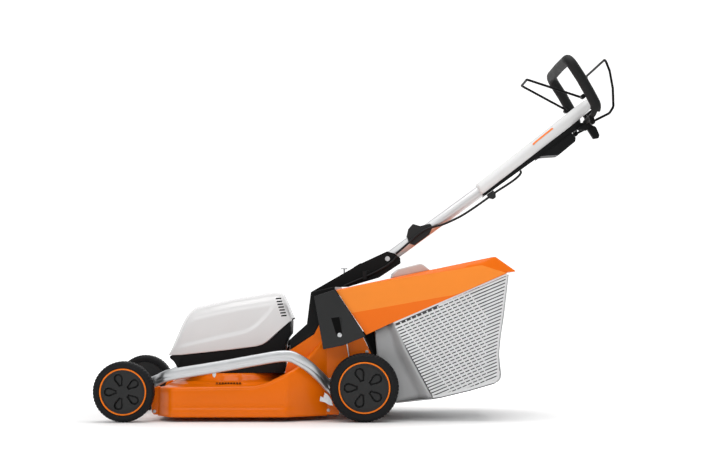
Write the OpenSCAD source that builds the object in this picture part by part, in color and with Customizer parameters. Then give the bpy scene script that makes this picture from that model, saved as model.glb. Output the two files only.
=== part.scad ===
// Walk-behind battery lawn mower with a single handle column and a rear catcher.
// X runs back from the front of the machine, Y to its right, Z up from the ground.
// Shapes are drawn with x measured back from the front axle; placed() moves them to the origin,
// which is the middle of the footprint on the ground.

/* [Deck] */
// Blade tip circle
blade_d = 410; // [380:1:500]
// Room between the blade tips and the outside of the deck wall
blade_room = 17; // [14:1:30]
// Thickness of the deck shell
deck_wall = 2.5; // [1.5:0.5:4]
// Height of the deck's lower rim above the ground at the lowest cut
rim_z = 14; // [10:1:25]
// Height of the deck's shoulder
shoulder_z = 104; // [95:1:112]
// Height of the seat for the motor base
seat_z = 140; // [130:1:150]
// Distance from the front axle back to the deck's front wall
deck_front = 92; // [91:1:110]
// Distance from the blade circle back to the front of the rear tyres
discharge_run = 92; // [83:1:128]

/* [Wheels and carriage] */
// Front wheel diameter
front_wheel_d = 180; // [170:1:181]
// Rear wheel diameter
rear_wheel_d = 204; // [190:1:250]
// Tyre width
tyre_w = 50; // [40:1:60]
// Axle diameter
axle_d = 16; // [12:1:20]
// Side clearance from the deck wall out to the wheels' outer faces
wheel_reach = 28; // [28:1:40]
// Height of the flat-oval side rail's section
rail_h = 34; // [26:1:38]
// Thickness of the side rail's section
rail_t = 18; // [12:1:20]
// Length of the lifting links
link_l = 60; // [55:1:66]
// Height of cut adjustment
lift = 50; // [30:1:52]

/* [Motor housing] */
// Width of the motor cover
cover_w = 280; // [260:1:300]
// Thickness of the moulded plastic walls
plastic_wall = 3; // [2:0.5:4]
// Motor can diameter
motor_d = 140; // [110:1:170]
// Number of cooling slots on each side of the cover
slot_count = 7; // [4:1:8]

/* [Console and catcher] */
// Width of the catcher lid
lid_w = 424; // [400:1:430]
// Gap between the deck's rear face and the catcher
catch_gap = 2; // [1:0.5:4]
// Length of the discharge flap
flap_l = 128; // [100:1:135]

/* [Handle] */
// Tilt of the handle column above the horizontal
handle_angle = 36.1; // [33:0.1:40]
// Diameter of the handle column tube
tube_d = 36; // [30:1:38]
// Length of the handle column from the fold bolt to its grip ring
column_l = 769; // [700:1:930]
// Fold bolt diameter
bolt_d = 10; // [8:1:12]
// Width of the grip ring
ring_w = 385; // [330:1:460]
// Height of the grip ring above the column
ring_h = 166; // [150:1:180]
// Diameter of the padded grip
grip_d = 32; // [26:1:34]
// Bail wire diameter
wire_d = 6; // [5:0.5:7]

/* [Hidden] */
$fn = 48;
fit = 0.05;       // radial clearance of a pin in its bore
gap = 0.5;        // clearance between pieces of different bodies

orange = "#F0780A";
white = "#E9E9E8";
black = "#26282A";
dark = "#3A3D3F";
grey = "#9A9B9C";
silver = "#C9CACC";
steel = "#A6A9AC";
battery_grey = "#55585A";

// Overall places
deck_half = blade_d / 2 + blade_room;
wheel_out = deck_half + wheel_reach;
wheel_in = wheel_out - tyre_w;
blade_x = deck_front + blade_room - 4 + blade_d / 2;
tyre_front = deck_front + blade_room - 4 + blade_d + discharge_run;
rear_x = tyre_front + rear_wheel_d / 2;
front_z = front_wheel_d / 2;
rear_z = rear_wheel_d / 2;
chute_half = wheel_in - 38;
basket_half = chute_half + 4;
cheek_half = lid_w / 2 + 8;
lid_half = lid_w / 2;
tyre_top = rear_wheel_d;
chute_z = rear_z + 50;

// Handle column places: the fold bolt, and the furthest point back of the rear bail
fold_x = rear_x + 74.3;
fold_z = tyre_top + 283.2;
col_u = [cos(handle_angle), sin(handle_angle)];
col_v = [-sin(handle_angle), cos(handle_angle)];
ring_s = column_l;
stop_pivot = [ring_s - 14, 47];
drive_pivot = [ring_s - 34, -31];
bail_back = ring_s + 40;
reach_back = fold_x + bail_back * col_u[0] - 31.5 * col_v[0] + wire_d / 2;
origin_x = (reach_back - front_wheel_d / 2) / 2;

// Lifting links: the carriage hangs from the deck on two rows of equal links
link_dz = lift / 2;
link_dx = sqrt(link_l * link_l - link_dz * link_dz);
link_front = [0, front_z];
link_rear = [rear_x - 64, rear_z + 48];
link_pin_d = 10;

// ---- helpers ----

function unit(v) = v / norm(v);

// Moves every edge of a counter-clockwise outline inwards by t
function inset(p, t) = let (n = len(p)) [for (i = [0 : n - 1])
    let (a = unit(p[i] - p[(i + n - 1) % n]), b = unit(p[(i + 1) % n] - p[i]),
         na = [-a[1], a[0]], nb = [-b[1], b[0]])
    p[i] + (na + nb) * t / (1 + na * nb)];

// Rounds the corners of an open route of 3-D points with radius r at each inner point
function round_route(p, r, n = 4) = concat([p[0]], [for (i = [1 : len(p) - 2])
    let (a = unit(p[i - 1] - p[i]), b = unit(p[i + 1] - p[i]),
         half = acos(max(-1, min(1, a * b))) / 2, back = r / tan(half),
         ma = p[i] + a * back, mb = p[i] + b * back, mid = unit(a + b),
         c = p[i] + mid * (r / sin(half)))
    for (k = [0 : n]) let (w = k / n, q = ma + (mb - ma) * w - c) c + unit(q) * r], [p[len(p) - 1]]);

module placed() { translate([-origin_x, 0, 0]) children(); }

// Upright x-z outline made thick from y0 to y1
module slab(points, y0, y1) {
    translate([0, y1, 0]) rotate([90, 0, 0]) linear_extrude(height = y1 - y0) polygon(points);
}

module both_sides() {
    children();
    mirror([0, 1, 0]) children();
}

// Round bar along Y
module bar_y(x, z, d, y0, y1) {
    translate([x, y0, z]) rotate([-90, 0, 0]) cylinder(d = d, h = y1 - y0);
}

// Round bar between two points
module rod(a, b, d) {
    v = b - a;
    translate(a) rotate([0, acos(v[2] / norm(v)), atan2(v[1], v[0])]) cylinder(d = d, h = norm(v));
}

// Route mirrored in y = 0 and joined to itself into one open loop
function mirrored(route) = concat([for (i = [len(route) - 1 : -1 : 1])
    [route[i][0], -route[i][1], route[i][2]]], route);

// Section normals along a route: each is the last one turned as little as possible
function carried(tangents, n, i = 0, out = []) = i == len(tangents) ? out
    : let (t = tangents[i], m = unit(n - t * (n * t))) carried(tangents, m, i + 1, concat(out, [m]));

// Section outline swept along a route. An upright section keeps its second axis up in Z;
// otherwise it starts with that axis along up and is carried round the bends
module sweep(route, section, upright = true, up = [0, 0, 1]) {
    n = len(section);
    m = len(route);
    tangents = [for (i = [0 : m - 1]) unit(route[min(i + 1, m - 1)] - route[max(i - 1, 0)])];
    ups = upright ? [for (t = tangents) unit(up - t * (up * t))] : carried(tangents, up);
    points = [for (i = [0 : m - 1]) let (side = cross(ups[i], tangents[i]))
        for (q = section) route[i] + side * q[0] + ups[i] * q[1]];
    sides = [for (i = [0 : m - 2]) for (j = [0 : n - 1]) let (k = (j + 1) % n)
        each [[i * n + j, (i + 1) * n + j, i * n + k], [i * n + k, (i + 1) * n + j, (i + 1) * n + k]]];
    ends = [[for (j = [0 : n - 1]) j], [for (j = [n - 1 : -1 : 0]) (m - 1) * n + j]];
    polyhedron(points = points, faces = concat(ends, sides));
}

function circle_section(d, n = 8) = [for (i = [0 : n - 1]) d / 2 * [cos(360 * i / n), sin(360 * i / n)]];

// Rounded rectangle section, t wide and h high
function oval_section(t, h, r, n = 4) = [for (c = [[1, 1, 0], [-1, 1, 90], [-1, -1, 180], [1, -1, 270]])
    for (k = [0 : n]) [c[0] * (t / 2 - r), c[1] * (h / 2 - r)]
        + r * [cos(c[2] + 90 * k / n), sin(c[2] + 90 * k / n)]];

// Pan-head screw that stands on a wall facing -y
module screw_left(x, z, y, d = 9) {
    translate([x, y, z]) rotate([90, 0, 0]) difference() {
        cylinder(d = d, h = 3);
        translate([0, 0, 1.6]) cylinder(d = d * 0.45, h = 2);
    }
}

// ---- deck ----

// Side outline of the wide part of the deck: flat shoulder, then the sweep up to the console
deck_low = [[deck_front, rim_z], [rear_x - 112, rim_z], [rear_x - 108, tyre_top + 4],
    [rear_x - 118, tyre_top + 52], [rear_x - 131, tyre_top + 34], [rear_x - 169, rear_z + 88],
    [rear_x - 201, rear_z + 56], [rear_x - 222, rear_z + 46], [rear_x - 251, shoulder_z + 28],
    [rear_x - 284, shoulder_z + 13], [rear_x - 324, shoulder_z + 2], [deck_front + 14, shoulder_z - 2],
    [deck_front + 2, shoulder_z - 16]];

// The roof line of the discharge tower, shared with the console that stands on it
tower_roof = [[rear_x - 220, rear_z + 109.5], [rear_x - 149, tyre_top + 54], [rear_x - 127, tyre_top + 96],
    [rear_x - 103, tyre_top + 164], [rear_x - 87, tyre_top + 180.5]];
part_top = [rear_x - 87, tyre_top + 187];
part_low = [rear_x + 4, tyre_top + 49];
tower = concat([[rear_x - 300, shoulder_z - 30], [rear_x - 112, shoulder_z - 30], [rear_x - 50, chute_z - 12],
    [rear_x + 30, chute_z + 8], [rear_x + 23, tyre_top - 7], [rear_x - 3, tyre_top + 47]],
    [for (i = [4 : -1 : 0]) tower_roof[i]], [[rear_x - 238, seat_z - 1], [rear_x - 300, shoulder_z + 2]]);

// Plan of the deck: chamfered front corners, straight sides, drawn in towards the rear wheels
function deck_plan(w) = [[deck_front + w, -(deck_half - 57 - w)], [deck_front + 45, -(deck_half - w)],
    [tyre_front - 127, -(deck_half - w)], [tyre_front - 9, -(chute_half - w)],
    [rear_x + 40, -(chute_half - w)], [rear_x + 40, chute_half - w],
    [tyre_front - 9, chute_half - w], [tyre_front - 127, deck_half - w],
    [deck_front + 45, deck_half - w], [deck_front + w, deck_half - 57 - w]];

// How fast the deck's sides draw in ahead of the rear wheels
waist_slope = (deck_half - chute_half) / 118;

module plan_prism(w, z0, z1) {
    translate([0, 0, z0]) linear_extrude(height = z1 - z0) polygon(deck_plan(w));
}

cheek_outline = [[rear_x - 121, tyre_top + 10], [rear_x - 60, tyre_top + 22.5], part_low, part_top,
    [rear_x - 148, tyre_top + 167]];

module deck_shell() {
    color(orange) placed() difference() {
        union() {
            intersection() {
                slab(deck_low, -deck_half, deck_half);
                plan_prism(0, 0, 400);
            }
            slab(tower, -chute_half, chute_half);
            translate([blade_x, 0, shoulder_z - 10]) cylinder(r = deck_half - 34, h = 22);
            translate([blade_x, 0, shoulder_z]) cylinder(r = deck_half - 66, h = seat_z - shoulder_z);
            // rolled bead round the lower rim
            intersection() {
                plan_prism(-3.5, rim_z, rim_z + 24);
                slab([[deck_front - 4, 0], [rear_x - 230, 0], [rear_x - 230, 60], [deck_front - 4, 60]],
                    -deck_half - 4, deck_half + 4);
            }
        }
        intersection() {
            slab(concat([[deck_front + deck_wall, -1], [rear_x - 112 - deck_wall, -1]],
                [for (i = [1 : len(deck_low) - 1]) inset(deck_low, deck_wall)[i]]),
                -deck_half, deck_half);
            plan_prism(deck_wall, -1, 400);
        }
        slab(concat([[rear_x - 296, shoulder_z - 40], [rear_x - 112, shoulder_z - 40],
            [rear_x - 52, chute_z - 9.5], [rear_x + 40, chute_z + 13], [rear_x + 40, tyre_top - 10],
            [rear_x + 4, tyre_top + 52], [rear_x - 80, tyre_top + 178]],
            [for (i = [3 : -1 : 1]) tower_roof[i] + [2, -3]],
            [[rear_x - 217, rear_z + 104], [rear_x - 235.5, seat_z - 3], [rear_x - 290, shoulder_z + 2]]),
            -chute_half + deck_wall, chute_half - deck_wall);
        translate([blade_x, 0, 0]) cylinder(r = deck_half - 36.5, h = shoulder_z + 9.5);
        translate([blade_x, 0, 0]) cylinder(r = deck_half - 68.5, h = seat_z - deck_wall);
        translate([blade_x, 0, 0]) cylinder(d = 44, h = 200);
        // seats of the cheek panels
        both_sides() slab(inset(cheek_outline, -0.3), chute_half, deck_half + 10);
    }
}

// Ears that carry the links: one pair on the front wall, one on each side under the chute
link_front_deck = link_front + [link_dx, -link_dz];
link_rear_deck = link_rear + [link_dx, -link_dz];

module deck_brackets() {
    y_out = chute_half;
    color(steel) placed() both_sides() {
        difference() {
            union() {
                for (y = [94, 113]) slab([[deck_front, link_front_deck[1] - 22],
                    [deck_front, link_front_deck[1] + 22], link_front_deck + [0, 9],
                    link_front_deck + [0, -9]], y, y + 4);
                for (y = [94, 113]) bar_y(link_front_deck[0], link_front_deck[1], 18, y, y + 4);
                slab([[deck_front - 3, link_front_deck[1] - 22], [deck_front, link_front_deck[1] - 22],
                    [deck_front, link_front_deck[1] + 22], [deck_front - 3, link_front_deck[1] + 22]],
                    94, 117);
                bar_y(link_front_deck[0], link_front_deck[1], link_pin_d, 92, 119);
                // rear ear, flat on the chute's side wall, with its pin
                slab([link_rear_deck + [-12, 0], link_rear_deck + [12, 0],
                    [link_rear_deck[0] + 16, chute_z + 30], [link_rear_deck[0] - 16, chute_z + 30]],
                    y_out, y_out + 2.5);
                bar_y(link_rear_deck[0], link_rear_deck[1], 24, y_out, y_out + 2.5);
                bar_y(link_rear_deck[0], link_rear_deck[1], link_pin_d, y_out, y_out + 9);
                bar_y(link_rear_deck[0], link_rear_deck[1], link_pin_d + 5, y_out + 9, y_out + 11);
            }
        }
    }
}

module deck_screws() {
    color(silver) placed() both_sides() {
        translate([rear_x - 126, -chute_half - 15 * waist_slope, rim_z + 60])
            rotate([0, 0, atan(waist_slope)]) screw_left(0, 0, 0, 8);
        screw_left(rear_x - 104, rim_z + 44, -chute_half, 8);
        screw_left(rear_x + 12, tyre_top - 8, -chute_half, 8);
        screw_left(deck_front + 58, rim_z + 12, -deck_half - 3.5, 8);
    }
}

// ---- motor housing ----

// Side outline of the cover, counter-clockwise from its front lower corner along the lower edge
cover_low = [[-190, 53], [-153, 54.4], [0, 71], [77, 81], [108, 93], [176, 156], [183, 159]];
cover_top = [[169, 202], [153, 239], [142, 245], [123, 245.5], [0, 225], [-83, 206.5], [-116, 199],
    [-135, 182], [-153, 151], [-171.5, 108], [-188, 65]];
function at_motor(list) = [for (p = list) [blade_x + p[0], seat_z + p[1]]];
cover_outline = at_motor(concat(cover_low, cover_top));
base_outline = at_motor(concat([[-155, 0], [157, 0], [157, 68], [166, 99], [177, 114], [178.5, 153]],
    [for (i = [5 : -1 : 0]) cover_low[i] + [0, -0.3]] , [[-164, 13]]));
hinge_at = [blade_x - 186, seat_z + 46];

// Front view of the cover: upright lower sides, shoulders drawn in and a gently domed top
function cover_front(w) = let (h = cover_w / 2 - w) [[-h, 0], [h, 0], [h, seat_z + 120],
    [h - 6, seat_z + 172], [h - 24, seat_z + 214 - w], [h - 60, seat_z + 236 - w], [40, seat_z + 247 - w],
    [-40, seat_z + 247 - w], [-h + 60, seat_z + 236 - w], [-h + 24, seat_z + 214 - w],
    [-h + 6, seat_z + 172], [-h, seat_z + 120]];

// Plan of the cover: narrower nose
function cover_plan(w) = let (h = cover_w / 2 - w) [[blade_x - 200, -h + 44], [blade_x - 150, -h + 8],
    [blade_x - 90, -h], [blade_x + 130, -h], [blade_x + 200, -h + 10], [blade_x + 200, h - 10],
    [blade_x + 130, h], [blade_x - 90, h], [blade_x - 150, h - 8], [blade_x - 200, h - 44]];

module cover_form(outline, w) {
    intersection() {
        slab(outline, -cover_w / 2, cover_w / 2);
        rotate([90, 0, 90]) linear_extrude(height = 1200) polygon(cover_front(w));
        linear_extrude(height = 600) polygon(cover_plan(w));
    }
}

module cover_slots() {
    for (k = [0 : slot_count - 1])
        translate([blade_x + 140 + k * 3.1, -cover_w / 2 - 1, seat_z + 218 - k * 8.2])
            rotate([0, -6, 0]) cube([19, 30, 3.4]);
}

module motor_cover() {
    inner = concat(at_motor([[-186, 40], [176, 40]]), [for (i = [6 : len(cover_outline) - 1])
        inset(cover_outline, plastic_wall)[i]]);
    color(white) placed() difference() {
        union() {
            difference() {
                cover_form(cover_outline, 0);
                cover_form(inner, plastic_wall);
            }
            both_sides() hull() {
                bar_y(hinge_at[0], hinge_at[1], 12, 70, 82);
                translate([blade_x - 187, 70, seat_z + 55]) cube([14, 12, 8]);
            }
        }
        both_sides() bar_y(hinge_at[0], hinge_at[1], 6 + 2 * fit, 60, 90);
        both_sides() cover_slots();
    }
}

module motor_base() {
    color(black) placed() difference() {
        union() {
            difference() {
                intersection() {
                    slab(base_outline, -cover_w / 2 + 8, cover_w / 2 - 8);
                    linear_extrude(height = 600) polygon(cover_plan(8));
                }
                intersection() {
                    slab(concat(at_motor([[-150, 3], [154, 3], [154, 70], [163, 100], [172, 116]]),
                        at_motor([[172, 300], [-156, 300], [-156, 14]])),
                        -cover_w / 2 + 11, cover_w / 2 - 11);
                    linear_extrude(height = 600) polygon(cover_plan(11));
                }
            }
            both_sides() {
                for (y = [62, 85]) hull() {
                    bar_y(hinge_at[0], hinge_at[1], 11, y, y + 5);
                    translate([blade_x - 166, y, seat_z + 20]) cube([8, 5, 22]);
                }
                bar_y(hinge_at[0], hinge_at[1], 6, 60, 92);
            }
        }
        // pockets that let the cover's hinge lugs swing
        both_sides() translate([blade_x - 200, 69, seat_z + 30]) cube([46, 14, 80]);
        // room for the cover's front lip, which dips as the cover opens
        translate([blade_x - 200, -cover_w / 2, seat_z + 50.5]) cube([17, cover_w, 20]);
        translate([blade_x, 0, seat_z - 1]) cylinder(d = motor_d + 1, h = 30);
    }
    color(black) placed() both_sides() bar_y(hinge_at[0], hinge_at[1], 6, 60, 92);
}

module drive_motor() {
    color(dark) placed() difference() {
        union() {
            translate([blade_x, 0, seat_z]) cylinder(d = motor_d, h = 42);
            translate([blade_x, 0, seat_z + 42]) cylinder(d = motor_d - 24, h = 8);
        }
        translate([blade_x, 0, seat_z - 1]) cylinder(d = axle_d + 2 * fit, h = 34);
        for (a = [0 : 45 : 315]) rotate_about([blade_x, 0, 0], a)
            translate([blade_x + motor_d / 2 - 3, -2, seat_z + 8]) cube([10, 4, 28]);
    }
}

module rotate_about(c, a) { translate(c) rotate([0, 0, a]) translate(-c) children(); }

tray_top = seat_z + 60;

module battery_tray() {
    color(dark) placed() difference() {
        translate([blade_x - 60, -100, seat_z + 3]) cube([196, 200, tray_top - seat_z + 20]);
        translate([blade_x - 1, 0, seat_z]) cylinder(d = motor_d + 8, h = 54);
        translate([blade_x + 60, -90, seat_z]) cube([72, 180, 54]);
        for (y = [-94, 4]) translate([blade_x - 54, y, tray_top]) cube([184, 90, 60]);
    }
}

module battery(y) {
    color(battery_grey) placed() difference() {
        union() {
            translate([blade_x - 50, y - 40, tray_top]) cube([152, 80, 58]);
            translate([blade_x - 44, y - 34, tray_top + 58]) cube([140, 68, 10]);
        }
        translate([blade_x + 20, y - 20, tray_top + 56]) cube([40, 40, 20]);
    }
}

module battery_left() battery(-49);
module battery_right() battery(49);

// ---- console, cheeks and fork ----

console_outline = concat([tower_roof[0], tower_roof[1], tower_roof[2], tower_roof[3], tower_roof[4],
    part_top + [0, 9], [rear_x - 159, tyre_top + 180], [rear_x - 171, tyre_top + 84],
    [rear_x - 199, tyre_top + 59], [rear_x - 224, tyre_top + 36]]);

module rear_console() {
    color(black) placed() difference() {
        slab(console_outline, -chute_half, chute_half);
        slab([[rear_x - 216, rear_z + 118], [rear_x - 154, tyre_top + 58], [rear_x - 131, tyre_top + 97],
            [rear_x - 108, tyre_top + 168], [rear_x - 154, tyre_top + 174], [rear_x - 167, tyre_top + 82],
            [rear_x - 197, tyre_top + 55], [rear_x - 219, tyre_top + 33]],
            -chute_half + plastic_wall, chute_half - plastic_wall);
    }
}

module cheek_panel() {
    difference() {
        slab(cheek_outline, -cheek_half, -chute_half);
        slab(inset(cheek_outline, plastic_wall), -cheek_half + plastic_wall, -chute_half + 1);
        // tapered recess that the lower screw sits in
        slab([[rear_x - 76, tyre_top + 47], [rear_x - 68, tyre_top + 47], [rear_x - 67, tyre_top + 102],
            [rear_x - 88, tyre_top + 102]], -cheek_half - 1, -cheek_half + 1.5);
    }
}

module cheek_left() { color(dark) placed() cheek_panel(); }
module cheek_right() { color(dark) placed() mirror([0, 1, 0]) cheek_panel(); }

module cheek_screws() {
    color(silver) placed() both_sides() screw_left(rear_x - 73, tyre_top + 54, -cheek_half + 1.5, 8.5);
}

// The arm rises from the console and ends in two ears round the column tube
fork_half = 45;
fork_outline = [part_top + [0, 9.3], part_top + [40, 10], [rear_x - 11, tyre_top + 208],
    [rear_x + 50, tyre_top + 226], [rear_x + 91, tyre_top + 253], [rear_x + 115, tyre_top + 269],
    [rear_x + 114, tyre_top + 285], [rear_x + 97, tyre_top + 299], [rear_x + 73, tyre_top + 306],
    [rear_x - 11, tyre_top + 267], [rear_x - 159, tyre_top + 182], [rear_x - 159, tyre_top + 180.3]];

module handle_fork() {
    slot = tube_d / 2 + 1.5;
    color(black) placed() difference() {
        slab(fork_outline, -fork_half, fork_half);
        slab(concat(inset([for (i = [1 : 8]) fork_outline[i]], 5), [for (i = [9 : 10])
            inset(fork_outline, 6)[i]]), -fork_half + 5, -slot - 5);
        slab(concat(inset([for (i = [1 : 8]) fork_outline[i]], 5), [for (i = [9 : 10])
            inset(fork_outline, 6)[i]]), slot + 5, fork_half - 5);
        // channel that the tube folds through
        slab([[fold_x - 100, fold_z - 18.5], [fold_x - 46, fold_z - 23], [fold_x - 42, fold_z - 33],
            [fold_x + 60, fold_z - 33], [fold_x + 60, fold_z + 60], [fold_x - 100, fold_z + 60]],
            -slot, slot);
        bar_y(fold_x, fold_z, bolt_d, -fork_half - 1, fork_half + 1);
        translate([hook_at[0], 0, hook_at[1] - 6]) cylinder(d = 5, h = 20);
    }
}

module fold_bolt() {
    color(silver) placed() {
        bar_y(fold_x, fold_z, bolt_d, -fork_half, fork_half);
        bar_y(fold_x, fold_z, 15, -fork_half - 4, -fork_half);
        bar_y(fold_x, fold_z, 15, fork_half, fork_half + 4);
    }
}

hook_at = [rear_x - 59, tyre_top + 239.9];

module latch_hook() {
    color(silver) placed() {
        translate([hook_at[0], 0, hook_at[1] - 6]) cylinder(d = 5, h = 18);
        translate([hook_at[0] - 10, -5, hook_at[1] + 12]) cube([20, 10, 3.5]);
    }
}

// ---- discharge flap ----

flap_slope = atan2(98.7, 474);
flap_at = part_top + [16, 3.5];

module flap_rod() {
    color(steel) placed() {
        bar_y(flap_at[0], flap_at[1], 6, -chute_half + 5, chute_half - 5);
        both_sides() slab([part_top, flap_at + [4, -5], flap_at + [4, 4], part_top + [0, 8]],
            chute_half - 8, chute_half - 4);
    }
}

module discharge_flap() {
    notch = fork_half + 16;
    half = chute_half - 11;
    color(black) placed() difference() {
        translate([flap_at[0], 0, flap_at[1]]) rotate([0, -flap_slope, 0]) union() {
            bar_y(0, 0, 10, -half - 1, half + 1);
            translate([0, 0, -4.4]) linear_extrude(height = 3) polygon([[0, -half], [flap_l, -half],
                [flap_l, -notch], [14, -notch], [14, notch], [flap_l, notch], [flap_l, half], [0, half]]);
        }
        bar_y(flap_at[0], flap_at[1], 6 + 2 * fit, -chute_half, chute_half);
        // room under the arm
        translate([flap_at[0] - 20, -notch + 4, flap_at[1] - 1]) cube([60, 2 * notch - 8, 20]);
    }
}

// Seal strip round the chute mouth's lower corners
module chute_seal() {
    band = [[rear_x + 24.5, tyre_top - 7], [rear_x + 31.5, chute_z + 8], [rear_x + 36, chute_z + 10],
        [rear_x + 30, tyre_top - 5], [rear_x + 4.5, tyre_top + 47.3], [rear_x - 2, tyre_top + 47.3]];
    color(black) placed() {
        both_sides() slab(band, chute_half - 5, chute_half);
    }
}

module drive_rod() {
    color(steel) placed() rod([rear_x - 51, -chute_half - 9, tyre_top + 24.8],
        [rear_x - 44, -chute_half - 2.2, rear_z + 86], 4);
}

// ---- cables on the machine ----

cable_d = 7;
module motor_cable() {
    a = [blade_x + 157, 20, seat_z + 55];
    b = [rear_x - 223.9, 20, tyre_top + 30];
    color(black) placed() sweep([a, a + [5, 0, 0], (a + b) / 2 + [0, 0, -2], b - [5, 0, 0.2], b],
        circle_section(cable_d));
}

cable_lower_route = [[rear_x - 60, -52, tyre_top + 199], [rear_x - 30, -52, tyre_top + 212],
    [rear_x + 4, -52, tyre_top + 226], [rear_x + 40, -51.5, tyre_top + 243],
    [rear_x + 70, -51, tyre_top + 260], [rear_x + 92, -50.5, tyre_top + 277], [rear_x + 104, -50, tyre_top + 292]];

module cable_lower() {
    color(black) placed() {
        sweep(cable_lower_route, circle_section(cable_d));
        translate([rear_x - 2, -57, tyre_top + 219]) cube([12, 7.5, 26]);
    }
}

// ---- cutting gear ----

blade_z = rim_z + 18;

module blade() {
    color(steel) placed() difference() {
        union() {
            translate([blade_x - blade_d / 2 + 4, -24, blade_z]) cube([blade_d - 8, 48, 4]);
            for (a = [0, 180]) rotate_about([blade_x, 0, 0], a)
                translate([blade_x + blade_d / 2 - 74, 23, blade_z]) rotate([32, 0, 0]) cube([66, 24, 3]);
        }
        translate([blade_x, 0, blade_z - 1]) cylinder(d = 12, h = 10);
    }
}

module blade_bolt() {
    color(dark) placed() {
        translate([blade_x, 0, blade_z - 3]) cylinder(d = 34, h = 3);
        translate([blade_x, 0, blade_z - 11]) cylinder(d = 18, h = 8, $fn = 6);
    }
}

module motor_shaft() {
    color(steel) placed() {
        translate([blade_x, 0, blade_z + 4]) cylinder(d = 56, h = 10);
        translate([blade_x, 0, blade_z + 14]) cylinder(d = 30, h = 26);
        translate([blade_x, 0, blade_z + 14]) cylinder(d = axle_d, h = seat_z + 30 - blade_z - 14);
        translate([blade_x, 0, blade_z]) cylinder(d = 12, h = 6);
    }
}

// ---- catcher ----

// The lid's side: front edge on the parting line, top crease, rear lip and rising lower edge
lid_front_top = part_top + [catch_gap, 0];
lid_front_low = part_low + [catch_gap + 1, 5];
lid_outline = [lid_front_low, [rear_x + 430, tyre_top + 240], [rear_x + 450, tyre_top + 238],
    [rear_x + 451, tyre_top + 242], [rear_x + 387, tyre_top + 286], lid_front_top + [2, 0]];
basket_top = [lid_front_low + [22, 9], [rear_x + 430, tyre_top + 239.5]];
basket_outline = [[rear_x + 37.5, tyre_top - 5], [rear_x + 96, rear_z - 50], [rear_x + 200, rear_z - 35],
    [rear_x + 226, rear_z - 31], [rear_x + 391, rear_z + 17], [rear_x + 403, rear_z + 24],
    [rear_x + 406.5, rear_z + 36], [rear_x + 400, rear_z + 93], basket_top[1], basket_top[0]];
// Behind this slanting line the basket widens to the lid's width
widen_top = [rear_x + 79, tyre_top + 73];
widen_low = [rear_x + 200, rear_z - 33];

function basket_wide(t) = inset([widen_low + [0, -30], [rear_x + 450, -20], [rear_x + 450, 600],
    [widen_top[0] - 150, 600], widen_top + [-36, 62]], t);

module basket_form() {
    slab(basket_outline, -basket_half, basket_half);
    intersection() {
        slab(basket_outline, -lid_half + 3, lid_half - 3);
        slab(basket_wide(0), -lid_half, lid_half);
    }
}

module catcher_basket() {
    inner = inset(basket_outline, plastic_wall);
    n = len(inner);
    color(grey) placed() difference() {
        basket_form();
        difference() {
            union() {
                // the cavity, open at the front above the sill and open at the top under the lid
                slab([for (i = [0 : n - 1]) i == n - 1 ? inner[i] + [-20, 20]
                    : i == n - 2 ? inner[i] + [0, 20] : inner[i]],
                    -basket_half + plastic_wall, basket_half - plastic_wall);
                intersection() {
                    slab([for (i = [0 : n - 1]) i >= n - 2 ? inner[i] + [0, 20] : inner[i]],
                        -lid_half + 3 + plastic_wall, lid_half - 3 - plastic_wall);
                    slab(basket_wide(plastic_wall), -lid_half, lid_half);
                }
                // mouth towards the chute
                slab([[rear_x + 20, tyre_top + 2], [rear_x + 60, tyre_top + 2], [rear_x + 60, tyre_top + 90],
                    [rear_x - 10, tyre_top + 90]], -basket_half + plastic_wall, basket_half - plastic_wall);
            }
        }
        // slots between the ribs on both sides
        both_sides() for (k = [0 : 5]) translate([rear_x + 232 + k * 8, -lid_half - 1, rear_z + 14 + k * 40])
            rotate([0, -22, 0]) for (j = [0 : 3]) translate([j * 36, 0, 0]) cube([30, 6, 4]);
    }
}

lid_slope = atan2(99, 474);
tub_wall = 3;

// Places a box in the recess that the discharge flap and the arm lie in
module in_recess(x0, x1, half, z0) {
    translate([lid_front_top[0], 0, lid_front_top[1]]) rotate([0, -lid_slope, 0])
        translate([x0, -half, z0]) cube([x1 - x0, 2 * half, 40]);
}

module catcher_lid() {
    inner = inset(lid_outline, plastic_wall);
    color(orange) placed() difference() {
        slab(lid_outline, -lid_half, lid_half);
        // hollow, open along the lower edge and at the front, but not where the recess's tub is
        difference() {
            slab([inner[0] + [-30, -40], [rear_x + 428, tyre_top + 215], [rear_x + 426, tyre_top + 246],
                inner[4], inner[5] + [-60, -13]], -lid_half + plastic_wall, lid_half - plastic_wall);
            in_recess(-40, flap_l + 20 + tub_wall, chute_half + 4 + tub_wall, -11 - tub_wall);
        }
        in_recess(-41, flap_l + 20, chute_half + 4, -11);
    }
}

// Hump that lifts the catcher off; its foot lies on the lid's top face
function lid_top_z(x) = lid_front_top[1] + (x - lid_front_top[0]) * lid_tan;
lid_tan = (lid_outline[4][1] - lid_front_top[1]) / (lid_outline[4][0] - lid_front_top[0] - 2);
grip_x0 = lid_front_top[0] + (flap_l + 24) + 19;
grip_x1 = rear_x + 204;

module catcher_grip() {
    color(white) placed() difference() {
        slab([[grip_x0, lid_top_z(grip_x0)], [grip_x1, lid_top_z(grip_x1)], [grip_x1 - 19, tyre_top + 264],
            [grip_x1 - 32, tyre_top + 268], [grip_x1 - 98, tyre_top + 251],
            [grip_x0 + 4, lid_top_z(grip_x0) + 15]], -70, 70);
        translate([rear_x + 110, -50, tyre_top + 200]) cube([50, 100, 52]);
    }
}

// ---- carriage: axles, rails, gearbox ----

rail_low = oval_section(rail_t, rail_h, 7);

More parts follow.
